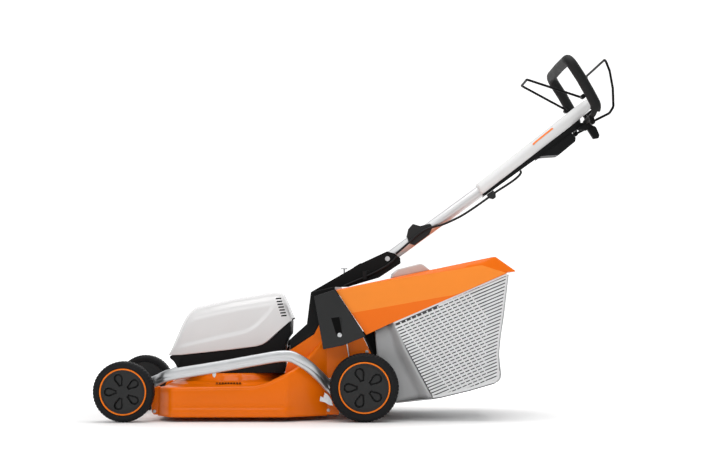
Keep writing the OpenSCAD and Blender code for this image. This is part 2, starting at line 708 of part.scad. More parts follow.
// Centreline of the near rail: hooked in behind both wheels, bowed out round the deck
rail_y = deck_half + 16;
rail_in = wheel_in - 15;
rail_route_left = [[48, -rail_in, front_z + 12], [80, -rail_in, front_z + 25],
    [88, -rail_in - 1, front_z + 28], [104, -rail_in - 18, front_z + 36],
    [126, -rail_y + 6, front_z + 46], [150, -rail_y, front_z + 52], [191, -rail_y, front_z + 59],
    [247, -rail_y, front_z + 68], [tyre_front - 234, -rail_y, rear_z + 78],
    [tyre_front - 172, -rail_y, rear_z + 89],
    [tyre_front - 134, -rail_y, rear_z + 93.5], [tyre_front - 110, -rail_y, rear_z + 92],
    [tyre_front - 91, -rail_y, rear_z + 84], [tyre_front - 70, -rail_y + 4, rear_z + 68],
    [tyre_front - 48, -rail_y + 16, rear_z + 48], [tyre_front - 26, -rail_y + 34, rear_z + 27],
    [tyre_front - 10, -rail_in - 5, rear_z + 9], [tyre_front + 1, -rail_in - 1, rear_z - 3],
    [tyre_front + 10, -rail_in, rear_z - 12], [rear_x - 72, -rail_in, rear_z - 32]];

module rail_left() {
    color(silver) placed() sweep(rail_route_left, rail_low);
}

module rail_right() {
    color(silver) placed() mirror([0, 1, 0]) sweep(rail_route_left, rail_low);
}

module front_axle() {
    y0 = rail_in - rail_t / 2 - 5;
    y1 = rail_in - rail_t / 2 - 0.4;
    color(steel) placed() {
        bar_y(0, front_z, axle_d, -wheel_out + 6, wheel_out - 6);
        both_sides() {
            slab([[0, front_z - 12], [78, front_z + 12], [78, front_z + 34], [0, front_z + 13]], y0, y1);
            bar_y(0, front_z, 30, y0, y1);
            bar_y(64, front_z + 18, 12, y1, rail_in - rail_t / 2);
            bar_y(0, front_z, 24, y1, wheel_in - 1);
        }
    }
}

module rear_axle() {
    y0 = rail_in - rail_t / 2 - 5;
    y1 = rail_in - rail_t / 2 - 0.4;
    color(steel) placed() {
        bar_y(rear_x, rear_z, axle_d, -wheel_out + 6, wheel_out - 6);
        both_sides() {
            slab([[rear_x + 8, rear_z - 13], [rear_x + 8, rear_z + 12], [rear_x - 22, rear_z + 8],
                link_rear + [14, -10], link_rear + [10, 10], link_rear + [-4, 13], link_rear + [-12, 0],
                [rear_x - 88, rear_z + 2], [rear_x - 88, rear_z - 30]], y0, y1);
            bar_y(rear_x, rear_z, 34, y0, y1);
            bar_y(rear_x - 78, rear_z - 24, 10, y1, rail_in - rail_t / 2);
            bar_y(link_rear[0], link_rear[1], link_pin_d, chute_half + 2.5, y0);
            bar_y(rear_x, rear_z, 24, y1, wheel_in - 1);
        }
    }
}

module gearbox() {
    color(black) placed() difference() {
        union() {
            bar_y(rear_x, rear_z, 76, -34, 34);
            bar_y(rear_x, rear_z, 40, -60, 60);
            translate([rear_x - 49, -26, rear_z - 24]) cube([49, 52, 42]);
        }
        bar_y(rear_x, rear_z, axle_d, -80, 80);
    }
}

// Link arms turn on the deck's pins at one end and on the carriage's pins at the other
module link_arm(from, y0, y1, end_d) {
    slab([from + [-4, -9], from + [link_dx, -link_dz - 9], from + [link_dx, -link_dz + 9],
        from + [4, 9]], y0, y1);
    bar_y(from[0], from[1], end_d, y0, y1);
    bar_y(from[0] + link_dx, from[1] - link_dz, 18, y0, y1);
}

module front_link() {
    color(steel) placed() difference() {
        union() {
            bar_y(0, front_z, axle_d + 10, -110, 110);
            both_sides() link_arm(link_front, 99, 112, axle_d + 12);
        }
        bar_y(0, front_z, axle_d + 2 * fit, -120, 120);
        both_sides() bar_y(link_front_deck[0], link_front_deck[1], link_pin_d + 2 * fit, 90, 120);
    }
}

module rear_links() {
    y0 = chute_half + 3.2;
    color(steel) placed() both_sides() difference() {
        link_arm(link_rear, y0, y0 + 4, 20);
        bar_y(link_rear[0], link_rear[1], link_pin_d + 2, 0, 300);
        bar_y(link_rear_deck[0], link_rear_deck[1], link_pin_d + 2 * fit, 0, 300);
    }
}

// ---- wheels ----

// Each wheel is drawn with its axle on Z, outer face up at z = tyre_w / 2
module tyre(d, rim_d) {
    r = d / 2;
    h = tyre_w / 2;
    rotate_extrude($fn = 96) polygon([[rim_d / 2, -h + 4], [r - 12, -h], [r - 3, -h + 4], [r, -h + 10],
        [r, -6], [r - 2.5, -5], [r - 2.5, 5], [r, 6], [r, h - 10], [r - 3, h - 4], [r - 12, h],
        [rim_d / 2, h - 3]]);
}

module teardrop(len_t, r) {
    circle(r = r);
    polygon([[-r * 0.98, -r * 0.2], [-r * 0.35, -len_t], [r * 0.35, -len_t], [r * 0.98, -r * 0.2]]);
}

module hub(rim_d) {
    h = tyre_w / 2;
    difference() {
        union() {
            rotate_extrude($fn = 96) polygon([[axle_d / 2 + fit, -h + 2], [15, -h + 2], [15, h - 10],
                [rim_d / 2 - 8, h - 10], [rim_d / 2 - 8, -h + 6], [rim_d / 2, -h + 6], [rim_d / 2, h - 5],
                [rim_d / 2 - 1, h - 5], [rim_d / 2 - 5, h - 5], [rim_d / 2 - 6, h - 2.5], [0.01, h - 1.5],
                [0.01, h - 5.5], [axle_d / 2 + fit, h - 5.5]]);
        }
        for (k = [0 : 4]) rotate([0, 0, 72 * k + 16]) translate([0, rim_d * 0.34, h - 4])
            linear_extrude(height = 4) teardrop(rim_d * 0.17, rim_d * 0.075);
    }
}

module wheel_ring(rim_d) {
    h = tyre_w / 2;
    rotate_extrude($fn = 96) polygon([[rim_d / 2 - 5, h - 5], [rim_d / 2, h - 5], [rim_d / 2, h - 3],
        [rim_d / 2 - 0.5, h - 1.2], [rim_d / 2 - 4.5, h - 1.2], [rim_d / 2 - 5, h - 2.6]]);
}

front_rim = front_wheel_d * 0.77;
rear_rim = rear_wheel_d * 0.75;

module at_wheel(x, z, side) {
    placed() translate([x, side * (wheel_out - tyre_w / 2), z])
        rotate([side > 0 ? -90 : 90, 0, 0]) children();
}

module tyre_fl() { color(black) at_wheel(0, front_z, -1) tyre(front_wheel_d, front_rim); }
module tyre_fr() { color(black) at_wheel(0, front_z, 1) tyre(front_wheel_d, front_rim); }
module tyre_rl() { color(black) at_wheel(rear_x, rear_z, -1) tyre(rear_wheel_d, rear_rim); }
module tyre_rr() { color(black) at_wheel(rear_x, rear_z, 1) tyre(rear_wheel_d, rear_rim); }
module hub_fl() { color(dark) at_wheel(0, front_z, -1) hub(front_rim); }
module hub_fr() { color(dark) at_wheel(0, front_z, 1) hub(front_rim); }
module hub_rl() { color(dark) at_wheel(rear_x, rear_z, -1) hub(rear_rim); }
module hub_rr() { color(dark) at_wheel(rear_x, rear_z, 1) hub(rear_rim); }
module ring_fl() { color(orange) at_wheel(0, front_z, -1) wheel_ring(front_rim); }
module ring_fr() { color(orange) at_wheel(0, front_z, 1) wheel_ring(front_rim); }
module ring_rl() { color(orange) at_wheel(rear_x, rear_z, -1) wheel_ring(rear_rim); }
module ring_rr() { color(orange) at_wheel(rear_x, rear_z, 1) wheel_ring(rear_rim); }

// ---- handle: local x runs up the column from the fold bolt, local z square to it ----

module on_handle() {
    placed() translate([fold_x, 0, fold_z]) rotate([0, -handle_angle, 0]) children();
}

cover_s0 = 355;
cover_s1 = ring_s + 36;
cover_half = 31;
tube_end = ring_s - 130;
seam = [[cover_s0, -12], [ring_s - 32, -1]];

module handle_tube() {
    color(silver) on_handle() difference() {
        translate([-22, 0, 0]) rotate([0, 90, 0]) cylinder(d = tube_d, h = tube_end + 22);
        translate([-30, 0, 0]) rotate([0, 90, 0]) cylinder(d = tube_d - 4, h = tube_end + 60);
        bar_y(0, 0, bolt_d + 2 * fit, -60, 60);
    }
}

handle_cover_outline = [seam[0], seam[1], [ring_s - 17, 0], [cover_s1, 9], [cover_s1 - 4, 25.5],
    [cover_s1 - 16, 38], [cover_s0 + 6, 24.5]];
crossbar = [ring_s - 24, -4];

module handle_cover() {
    color(silver) on_handle() difference() {
        intersection() {
            slab(handle_cover_outline, -cover_half, cover_half);
            rotate([90, 0, 90]) linear_extrude(height = 1200) polygon([[-cover_half, -40], [cover_half, -40],
                [cover_half, 14], [cover_half - 7, 30], [cover_half - 16, 42], [-cover_half + 16, 42],
                [-cover_half + 7, 30], [-cover_half, 14]]);
        }
        slab([[cover_s0 + 4, -30], [cover_s1 - 4, -30], [cover_s1 - 8, 20], [cover_s1 - 18, 34],
            [cover_s0 + 10, 20.5]], -cover_half + plastic_wall, cover_half - plastic_wall);
        translate([cover_s0 - 10, 0, 0]) rotate([0, 90, 0]) cylinder(d = tube_d, h = 60);
        bar_y(crossbar[0], crossbar[1], grip_d + 1, -60, 60);
    }
}

underside_outline = [[cover_s0 + 2, -20.5], [ring_s - 70, -22], [ring_s - 18, -22], [ring_s + 8, -8],
    [ring_s + 18, 1.5], [ring_s - 17, -0.4], seam[1] + [0, -0.4], seam[0] + [0, -0.4]];

module handle_underside() {
    color(black) on_handle() difference() {
        slab(underside_outline, -cover_half, cover_half);
        slab([[cover_s0 + 6, -17.5], [ring_s - 60, -19], [ring_s - 60, 20], [cover_s0 + 6, 20]],
            -cover_half + plastic_wall, cover_half - plastic_wall);
        translate([cover_s0 - 10, 0, 0]) rotate([0, 90, 0]) cylinder(d = tube_d, h = tube_end);
        bar_y(crossbar[0], crossbar[1], grip_d, -60, 60);
    }
}

box_outline = [[ring_s - 203, -22], [ring_s - 187, -31], [ring_s - 152, -53], [ring_s - 87, -49],
    [ring_s - 79, -40.5], [ring_s - 80, -22.2]];
button_at = [ring_s - 79.5, -31.3];

module switch_box() {
    color(black) on_handle() difference() {
        slab(box_outline, -38, 38);
        slab(inset(box_outline, plastic_wall), -35, 35);
        translate([button_at[0] - 14, 0, button_at[1]]) rotate([0, 90, 0]) cylinder(d = 9 + 2 * gap, h = 30);
    }
    color(black) on_handle() {
        // bracket of the speed lever
        slab([[ring_s - 60, -22], [ring_s - 58, -30], [ring_s - 40, -42], [ring_s - 24, -42],
            [ring_s - 16, -22.2]], -58, -54);
        slab([[ring_s - 60, -22], [ring_s - 58, -30], [ring_s - 40, -42], [ring_s - 24, -42],
            [ring_s - 16, -22.2]], -38, -34);
        slab([[ring_s - 60, -22.2], [ring_s - 60, -25], [ring_s - 16, -25], [ring_s - 16, -22.2]], -58, 30);
        bar_y(ring_s - 32, -36, 6, -60, -32);
    }
}

module start_button() {
    color(orange) on_handle() translate([button_at[0] - 8, 0, button_at[1]]) rotate([0, 90, 0]) {
        cylinder(d = 9, h = 13);
        cylinder(d = 11.4, h = 3);
    }
}

module speed_lever() {
    color(black) on_handle() difference() {
        slab([[ring_s - 38, -44], [ring_s - 40, -76], [ring_s - 25, -83], [ring_s - 18, -77],
            [ring_s - 12, -50], [ring_s - 24, -30], [ring_s - 38, -30]], -53.5, -38.5);
        bar_y(ring_s - 32, -36, 6 + 2 * fit, -60, -30);
    }
}

saddle_outline = [[84, -3], [94, -16], [150, -16], [172, -3], [172, 10], [164, 14], [143, 22], [128, 41],
    [109, 36.5], [91, 21], [84, 4]];

module cable_saddle() {
    color(dark) on_handle() difference() {
        slab(saddle_outline, -24, 24);
        translate([70, 0, 0]) rotate([0, 90, 0]) cylinder(d = tube_d, h = 130);
        translate([104, -16, tube_d / 2 + 3]) cube([50, 32, 30]);
    }
}

module cable_clip() {
    color(dark) on_handle() difference() {
        slab([[366, -21], [366, -34], [374, -44], [384, -44], [390, -34], [390, -21.2]], -29, -13);
        translate([360, -22, -31]) rotate([0, 90, 0]) cylinder(d = cable_d + 0.2, h = 40);
    }
}

cable_upper_route = [[30, -51, -3], [48, -48, -2], [70, -38, 0], [92, -31, 2], [121, -29, 5], [150, -28.5, 3],
    [176, -28, -5], [198, -24, -14], [222, -22, -20], [260, -22, -27], [300, -22, -30], [340, -22, -31],
    [357, -22, -31], [378, -22, -31], [400, -22, -31], [430, -22, -33], [460, -22, -34], [480, -22, -32.5],
    [491, -22, -29], [494, -22, -25], [494.6, -22, -21.4]];

module cable_upper() {
    color(black) on_handle() sweep(cable_upper_route, circle_section(cable_d));
}

// Grip ring: crossbar at the top, curved posts, lower crossbar through the column's end
post_y = ring_w / 2 - grip_d / 2;
ring_half = round_route([[ring_s, 0, ring_h], [ring_s, post_y, ring_h], [ring_s + 9, post_y, ring_h * 0.55],
    [ring_s - 1, post_y, crossbar[1] + 4], [crossbar[0], post_y - 12, crossbar[1]],
    [crossbar[0], 60, crossbar[1]]], 12);

module grip_ring() {
    color(black) on_handle() difference() {
        union() {
            sweep(mirrored(ring_half), circle_section(grip_d - 0.8, 20), false, [1, 0, 0]);
            bar_y(crossbar[0], crossbar[1], grip_d, -61, 61);
            both_sides() {
                bar_y(stop_pivot[0], stop_pivot[1], 14, post_y - 31, post_y - 6);
                slab([drive_pivot + [-6.5, 0], drive_pivot + [6.5, 0],
                    crossbar + [9, -6], crossbar + [-9, -6]],
                    post_y - 33, post_y - 21);
                bar_y(drive_pivot[0], drive_pivot[1], 16, post_y - 34, post_y - 20);
            }
        }
        both_sides() bar_y(stop_pivot[0], stop_pivot[1], wire_d + 2 * fit, 0, post_y - 14);
        both_sides() bar_y(drive_pivot[0], drive_pivot[1], wire_d + 2 * fit, 0, ring_w);
    }
}

// A bail's wire: bent loop with straight pivot ends that turn in the ring's bores
module bail(half, pivot, y_bend, y_end) {
    sweep(mirrored(round_route(half, 6, 3)), circle_section(wire_d - 0.3, 10), false, [1, 0, 0]);
    both_sides() bar_y(pivot[0], pivot[1], wire_d, min(y_bend, y_end), max(y_bend, y_end));
}

stop_tip = [ring_s - 100, 192];
drive_tip = [ring_s + 103, 100];

module stop_bail() {
    y = post_y - 38;
    color(black) on_handle() bail([[stop_tip[0], 0, stop_tip[1]], [stop_tip[0], 62, stop_tip[1]],
        [stop_pivot[0], y, stop_pivot[1]], [stop_pivot[0], y + 9, stop_pivot[1]]],
        stop_pivot, y + 8, post_y - 16);
}

module drive_bail() {
    y = post_y - 11;
    color(black) on_handle() bail([[drive_tip[0], 0, drive_tip[1]], [drive_tip[0], y, drive_tip[1]],
        [ring_s + 68, y, 10], [bail_back, y, -31.5], [ring_s + 19, y, -40],
        [drive_pivot[0], y, drive_pivot[1]], [drive_pivot[0], y - 8, drive_pivot[1]]],
        drive_pivot, y - 7, post_y - 36);
}

deck_shell();
deck_brackets();
deck_screws();
motor_base();
drive_motor();
battery_left();
battery_right();
battery_tray();
rear_console();
cheek_left();
cheek_right();
cheek_screws();
handle_fork();
fold_bolt();
latch_hook();
flap_rod();
chute_seal();
drive_rod();
motor_cable();
cable_lower();
discharge_flap();
blade();
blade_bolt();
motor_shaft();
motor_cover();
catcher_basket();
catcher_lid();
catcher_grip();
front_link();
rear_links();
front_axle();
rear_axle();
gearbox();
rail_left();
rail_right();
tyre_fl();
hub_fl();
ring_fl();
tyre_fr();
hub_fr();
ring_fr();
tyre_rl();
hub_rl();
ring_rl();
tyre_rr();
hub_rr();
ring_rr();
handle_tube();
handle_cover();
handle_underside();
switch_box();
cable_saddle();
cable_clip();
cable_upper();
grip_ring();
stop_bail();
drive_bail();
speed_lever();
start_button();
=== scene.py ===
# Walk-behind battery lawn mower, built up piece by piece round its packed working model.
# Each section below is one piece or group of like pieces, in the order they go together.
import math

import bmesh
import bpy
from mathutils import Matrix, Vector


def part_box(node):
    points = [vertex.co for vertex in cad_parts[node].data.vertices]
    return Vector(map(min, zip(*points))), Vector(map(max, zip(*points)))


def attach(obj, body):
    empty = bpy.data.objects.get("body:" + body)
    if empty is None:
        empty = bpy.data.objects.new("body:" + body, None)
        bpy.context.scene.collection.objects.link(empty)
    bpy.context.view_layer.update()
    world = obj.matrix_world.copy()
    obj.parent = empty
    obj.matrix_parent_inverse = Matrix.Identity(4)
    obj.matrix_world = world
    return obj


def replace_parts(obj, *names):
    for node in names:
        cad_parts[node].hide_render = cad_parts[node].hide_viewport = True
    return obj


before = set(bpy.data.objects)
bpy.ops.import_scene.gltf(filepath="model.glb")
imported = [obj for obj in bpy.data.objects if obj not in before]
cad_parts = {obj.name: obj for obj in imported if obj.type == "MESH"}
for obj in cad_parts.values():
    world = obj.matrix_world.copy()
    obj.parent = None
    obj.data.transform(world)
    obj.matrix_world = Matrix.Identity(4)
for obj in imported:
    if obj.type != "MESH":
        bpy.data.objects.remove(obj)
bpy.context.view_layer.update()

# ---- Studio ----
# The mower stands on a pale paper sweep that runs up behind it, under a broad
# overhead softbox with a long strip light on the near side and a fill from behind.
front_ring_low, front_ring_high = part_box("ring_fl")
front_axle_x = (front_ring_low.x + front_ring_high.x) / 2
MM = 0.001


def at(back, across, up):
    """Point in metres: millimetres back from the front axle, across to the right and up."""
    return Vector((front_axle_x + back * MM, across * MM, up * MM))


def paper_sweep():
    profile = [(-9.0, 0.0), (4.0, 0.0)]
    for step in range(1, 13):
        turn = math.radians(90 * step / 12)
        profile.append((4.0 + 3.0 * math.sin(turn), 3.0 - 3.0 * math.cos(turn)))
    profile.append((7.0, 9.0))
    mesh = bpy.data.meshes.new("paper_sweep")
    points = [(side, y, z) for y, z in profile for side in (-14.0, 14.0)]
    faces = [(2 * i, 2 * i + 1, 2 * i + 3, 2 * i + 2) for i in range(len(profile) - 1)]
    mesh.from_pydata(points, [], faces)
    mesh.shade_smooth()
    sweep = bpy.data.objects.new("paper_sweep", mesh)
    bpy.context.scene.collection.objects.link(sweep)
    paper = bpy.data.materials.new("white_paper")
    paper.use_nodes = True
    coat = paper.node_tree.nodes["Principled BSDF"]
    coat.inputs["Base Color"].default_value = (0.93, 0.93, 0.93, 1)
    coat.inputs["Roughness"].default_value = 0.65
    coat.inputs["Specular IOR Level"].default_value = 0.25
    coat.inputs["Emission Color"].default_value = (1, 1, 1, 1)
    nodes, links = paper.node_tree.nodes, paper.node_tree.links
    # The paper glows: emission is nil in an oval under the mower and rises to half strength away from it,
    # a painted shadow under the machine.
    place = nodes.new("ShaderNodeTexCoord")
    patch = nodes.new("ShaderNodeMapping")
    patch.inputs["Location"].default_value = (0.12, 0.02, 0)
    patch.inputs["Scale"].default_value = (0.75, 1.5, 0.0)
    reach = nodes.new("ShaderNodeVectorMath")
    reach.operation = "LENGTH"
    shadow_fade = nodes.new("ShaderNodeMapRange")
    shadow_fade.interpolation_type = "SMOOTHSTEP"
    shadow_fade.inputs["From Min"].default_value = 0.42
    shadow_fade.inputs["From Max"].default_value = 1.15
    shadow_fade.inputs["To Min"].default_value = 0.0
    shadow_fade.inputs["To Max"].default_value = 0.5
    links.new(place.outputs["Object"], patch.inputs["Vector"])
    links.new(patch.outputs["Vector"], reach.inputs[0])
    links.new(reach.outputs["Value"], shadow_fade.inputs["Value"])
    links.new(shadow_fade.outputs["Result"], coat.inputs["Emission Strength"])
    sweep.data.materials.append(paper)


def softbox(name, place, target, width, height, watts):
    lamp = bpy.data.lights.new(name, "AREA")
    lamp.shape = "RECTANGLE"
    lamp.size, lamp.size_y = width, height
    lamp.energy = watts
    box = bpy.data.objects.new(name, lamp)
    box.location = place
    box.rotation_euler = (Vector(target) - Vector(place)).to_track_quat("-Z", "Y").to_euler()
    bpy.context.scene.collection.objects.link(box)
    return box


paper_sweep()
softbox("overhead_box", (0.1, -0.3, 3.2), (0.1, 0.0, 0.2), 3.0, 2.0, 66)
softbox("near_strip", (-1.2, -3.6, 2.3), (0.0, 0.0, 0.3), 3.4, 0.9, 34)
softbox("tail_fill", (3.0, 1.4, 1.8), (0.3, 0.0, 0.5), 1.6, 1.6, 16)

surroundings = bpy.data.worlds.new("white_room")
surroundings.use_nodes = True
room_light = surroundings.node_tree.nodes["Background"]
room_light.inputs["Color"].default_value = (1, 1, 1, 1)
room_light.inputs["Strength"].default_value = 0.42
bpy.context.scene.world = surroundings
bpy.context.scene.view_settings.view_transform = "Standard"

camera_data = bpy.data.cameras.new("studio_camera")
camera_data.lens = 69.3
camera_data.sensor_width = 36
camera_data.shift_x = 0.0176
camera_data.shift_y = 0.0882
camera_data.clip_end = 60
camera = bpy.data.objects.new("studio_camera", camera_data)
camera.location = at(643.4, -4250, 363)
camera.rotation_euler = (math.radians(90), 0, 0)
bpy.context.scene.collection.objects.link(camera)
bpy.context.scene.camera = camera

# ---- Deck ----
# One pressing of 2.5 mm steel sheet, powder coated orange: a skirt with a rolled bead, a round
# shoulder that sweeps up at the back into the discharge tower, and a stepped seat for the motor.


def finish(name, colour, rough, metal=0.0, mottle=0.05, patch=7.0, grain=700.0, depth=0.00004, coat=0.0,
           shine=0.5):
    """Coat with cloudy colour and gloss at the patch scale, and a fine grain in relief."""
    coating = bpy.data.materials.new(name)
    coating.use_nodes = True
    tree = coating.node_tree
    shader = tree.nodes["Principled BSDF"]
    shader.inputs["Metallic"].default_value = metal
    shader.inputs["Specular IOR Level"].default_value = shine
    shader.inputs["Coat Weight"].default_value = coat
    shader.inputs["Coat Roughness"].default_value = 0.12
    place = tree.nodes.new("ShaderNodeTexCoord")
    cloud = tree.nodes.new("ShaderNodeTexNoise")
    cloud.inputs["Scale"].default_value = patch
    cloud.inputs["Detail"].default_value = 5.0
    tree.links.new(place.outputs["Object"], cloud.inputs["Vector"])
    shades = tree.nodes.new("ShaderNodeValToRGB")
    shades.color_ramp.elements[0].position = 0.3
    shades.color_ramp.elements[1].position = 0.7
    shades.color_ramp.elements[0].color = [c * (1 - mottle) for c in colour] + [1]
    shades.color_ramp.elements[1].color = [min(1, c * (1 + mottle)) for c in colour] + [1]
    tree.links.new(cloud.outputs["Fac"], shades.inputs["Fac"])
    tree.links.new(shades.outputs["Color"], shader.inputs["Base Color"])
    gloss = tree.nodes.new("ShaderNodeMapRange")
    gloss.inputs["To Min"].default_value = rough * 0.86
    gloss.inputs["To Max"].default_value = min(1.0, rough * 1.14)
    tree.links.new(cloud.outputs["Fac"], gloss.inputs["Value"])
    tree.links.new(gloss.outputs["Result"], shader.inputs["Roughness"])
    speck = tree.nodes.new("ShaderNodeTexNoise")
    speck.inputs["Scale"].default_value = grain
    speck.inputs["Detail"].default_value = 2.0
    tree.links.new(place.outputs["Object"], speck.inputs["Vector"])
    relief = tree.nodes.new("ShaderNodeBump")
    relief.inputs["Strength"].default_value = 0.5
    relief.inputs["Distance"].default_value = depth
    tree.links.new(speck.outputs["Fac"], relief.inputs["Height"])
    tree.links.new(relief.outputs["Normal"], shader.inputs["Normal"])
    return coating


orange_powder_coat = finish("orange_powder_coat", (0.85, 0.162, 0.0005), 0.3, mottle=0.03, coat=0.1,
                            shine=0.14)
bright_zinc = finish("bright_zinc", (0.58, 0.59, 0.6), 0.36, metal=1.0, mottle=0.14, patch=60)
# Black that stands in for shade: painted shade in holes, hollows, recesses and gaps.
shade_black = finish("shade_black", (0.003, 0.003, 0.003), 0.9, shine=0.1)


def add_piece(name, points, faces, body, coating, crisp=35):
    """New piece from points in metres; edges sharper than the crisp angle stay hard."""
    mesh = bpy.data.meshes.new(name)
    mesh.from_pydata([tuple(p) for p in points], [], faces)
    sheet = bmesh.new()
    sheet.from_mesh(mesh)
    bmesh.ops.remove_doubles(sheet, verts=sheet.verts, dist=1e-6)
    bmesh.ops.recalc_face_normals(sheet, faces=sheet.faces)
    sheet.to_mesh(mesh)
    sheet.free()
    mesh.shade_smooth()
    mesh.set_sharp_from_angle(angle=math.radians(crisp))
    mesh.materials.append(coating)
    piece = bpy.data.objects.new(name, mesh)
    bpy.context.scene.collection.objects.link(piece)
    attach(piece, body)
    return piece


def thicken(piece, wall, offset):
    """Gives a sheet its wall in millimetres, centred (0) or inside (-1)."""
    gauge = piece.modifiers.new("moulding_gauge", "SOLIDIFY")
    gauge.thickness = wall * MM
    gauge.offset = offset


def skinned(name, rings, body, coating, loop=True, ends=True, crisp=35):
    """Piece skinned over a row of rings that all have the same number of points."""
    n = len(rings[0])
    faces = []
    for i in range(len(rings) - 1):
        for j in range(n if loop else n - 1):
            k = (j + 1) % n
            faces.append((i * n + j, i * n + k, (i + 1) * n + k, (i + 1) * n + j))
    if ends:
        last = (len(rings) - 1) * n
        faces.append(tuple(range(n)))
        faces.append(tuple(range(last + n - 1, last - 1, -1)))
    return add_piece(name, [p for ring in rings for p in ring], faces, body, coating, crisp)


def read_off(chart, x):
    """Straight-line reading of a chart of (x, value) pairs."""
    for (x0, v0), (x1, v1) in zip(chart, chart[1:]):
        if x <= x1:
            return v0 + (v1 - v0) * max(0.0, x - x0) / (x1 - x0)
    return chart[-1][1]


def soft_read(chart, x, reach):
    """Reading averaged over a reach either side, which rounds the chart's corners."""
    steps = [-1.0, -0.66, -0.33, 0.0, 0.33, 0.66, 1.0]
    return sum(read_off(chart, x + reach * s) for s in steps) / len(steps)


def ease(low, high, value):
    t = min(1.0, max(0.0, (value - low) / (high - low)))
    return t * t * (3 - 2 * t)


blade_back = 310
deck_width = [(92, 165), (137, 222), (480, 222), (598, 162)]
shoulder_line = [(92, 88), (94, 94), (98, 99), (106, 102), (385, 106), (425, 117), (458, 132), (487, 148),
                 (508, 160), (540, 190), (578, 238), (591, 256), (601, 262)]


def deck_top(back, across, shoulder):
    """Height of the pressing's top: shoulder level, then two round steps up to the motor seat."""
    reach = math.hypot(back - blade_back, across)
    step_one = 10 * (1 - ease(178, 192, reach))
    step_two = 24 * (1 - ease(147, 163, reach))
    height = min(139.6, 106 + step_one + step_two)
    return max(shoulder - 3 * ease(0, 40, 222 - abs(across)), height if reach < 200 else 0)


def deck_section(back):
    width = soft_read(deck_width, back, 7) if back > 100 else read_off(deck_width, back)
    shoulder = soft_read(shoulder_line, back, 9) if back > 120 else read_off(shoulder_line, back)
    bead = ease(98, 135, back) * (1 - ease(455, 520, back))
    bend = 13 + 9 * ease(480, 560, back)
    side = [(width + 3.4 * bead, 14), (width + 3.5 * bead, 20), (width + 3.4 * bead, 30),
            (width + 3.0 * bead, 35), (width + 1.6 * bead, 39), (width + 0.4 * bead, 43), (width, 48),
            (width - 0.2, 60), (width - 0.6, min(78, shoulder - bend - 4))]
    for step in range(7):
        turn = math.radians(90 * step / 6)
        side.append((width - 1.0 - bend * (1 - math.cos(turn)), shoulder - bend * (1 - math.sin(turn))))
    inner = width - 1.0 - bend
    for step in range(1, 31):
        across = inner * (1 - step / 30)
        side.append((across, deck_top(back, across, shoulder)))
    near = [at(back, -across, up) for across, up in side]
    far = [at(back, across, up) for across, up in reversed(side[:-1])]
    return near + far


stations = [92, 92.6, 93.4, 95, 97, 100, 104, 110] + list(range(118, 598, 6)) + [598]
deck_pan = skinned("deck_pan", [deck_section(back) for back in stations], "deck", orange_powder_coat,
                   loop=False, ends=True, crisp=50)
gauge = deck_pan.modifiers.new("sheet_gauge", "SOLIDIFY")
gauge.thickness = 0.0022
gauge.offset = -1
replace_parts(deck_pan, "deck_shell")


def pressed_plate(name, outline, near, far, body, coating, edge=1.0, crisp=35):
    """Plate with a side outline of (back, up) points, from near to far across, its edges rounded."""
    n = len(outline)
    points = [at(b, near, u) for b, u in outline] + [at(b, far, u) for b, u in outline]
    faces = [tuple(range(n)), tuple(range(2 * n - 1, n - 1, -1))]
    faces += [(i, (i + 1) % n, n + (i + 1) % n, n + i) for i in range(n)]
    plate = add_piece(name, points, faces, body, coating, 180)
    if edge:
        rounding = plate.modifiers.new("edge_round", "BEVEL")
        rounding.width = edge * MM
        rounding.segments = 3
        rounding.limit_method = "ANGLE"
        rounding.angle_limit = math.radians(20)
    plate.modifiers.new("even_shading", "WEIGHTED_NORMAL")
    return plate


tower_line = [(430, 118), (471, 138), (489, 211), (560, 257.5), (582, 299.5), (606, 367.5), (622, 384)]
mouth_line = [(622, 390), (706, 251), (732, 197), (739, 162)]
for hand, side in (("left", -1), ("right", 1)):
    wall = pressed_plate(f"tower_wall_{hand}", tower_line + mouth_line + [(659, 141), (640, 108),
            (634, 17), (575, 17), (560, 76), (430, 76)], side * 161.8, side * 159.4, "deck",
            orange_powder_coat, 0.8)
    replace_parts(wall, "deck_shell")
roof_points = [at(b, side * 160, u - drop) for drop in (0.3, 2.6) for b, u in tower_line
               for side in (-1, 1)]
count = len(tower_line)
roof_faces = []
for layer in range(2):
    start = layer * 2 * count
    roof_faces += [(start + 2 * i, start + 2 * i + 1, start + 2 * i + 3, start + 2 * i + 2)
                   for i in range(count - 1)]
roof = add_piece("tower_roof", roof_points, roof_faces, "deck", orange_powder_coat)
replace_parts(roof, "deck_shell")


def dress(node, coating, edge=0.0):
    """Gives a piece of the working model its coating, and rounds its edges by a modifier."""
    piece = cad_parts[node]
    piece.data.materials.clear()
    piece.data.materials.append(coating)
    if edge:
        weld = piece.modifiers.new("weld", "WELD")
        weld.merge_threshold = 0.00002
        rounding = piece.modifiers.new("edge_round", "BEVEL")
        rounding.width = edge * MM
        rounding.segments = 2
        rounding.limit_method = "ANGLE"
        rounding.angle_limit = math.radians(30)
        piece.modifiers.new("even_shading", "WEIGHTED_NORMAL")
    return piece


# Cooling slots in the top and pan screws of the deck: the punched holes are black plates, painted shade in
# the holes;
# the screws are bright zinc and hold the skirt's corner gussets and the chute's lip.


def pan_screw(name, centre, out, radius, body):
    """Pan head screw with a washer face and a round drive pit, standing on a wall."""
    out = Vector(out).normalized()
    side = out.cross(Vector((0, 0, 1)))
    side = side.normalized() if side.length > 0.1 else Vector((1, 0, 0))
    up = side.cross(out)
    profile = [(1.25, 0.0), (1.25, 0.7), (1.0, 0.9), (0.97, 1.6), (0.82, 2.3), (0.55, 2.6), (0.5, 1.5),
               (0.02, 1.4)]
    turns = [math.tau * k / 20 for k in range(20)]
    spokes = [side * math.cos(turn) + up * math.sin(turn) for turn in turns]
    rings = [[centre + spoke * (radius * r * MM) + out * (h * MM) for spoke in spokes] for r, h in profile]
    return skinned(name, rings, body, bright_zinc)


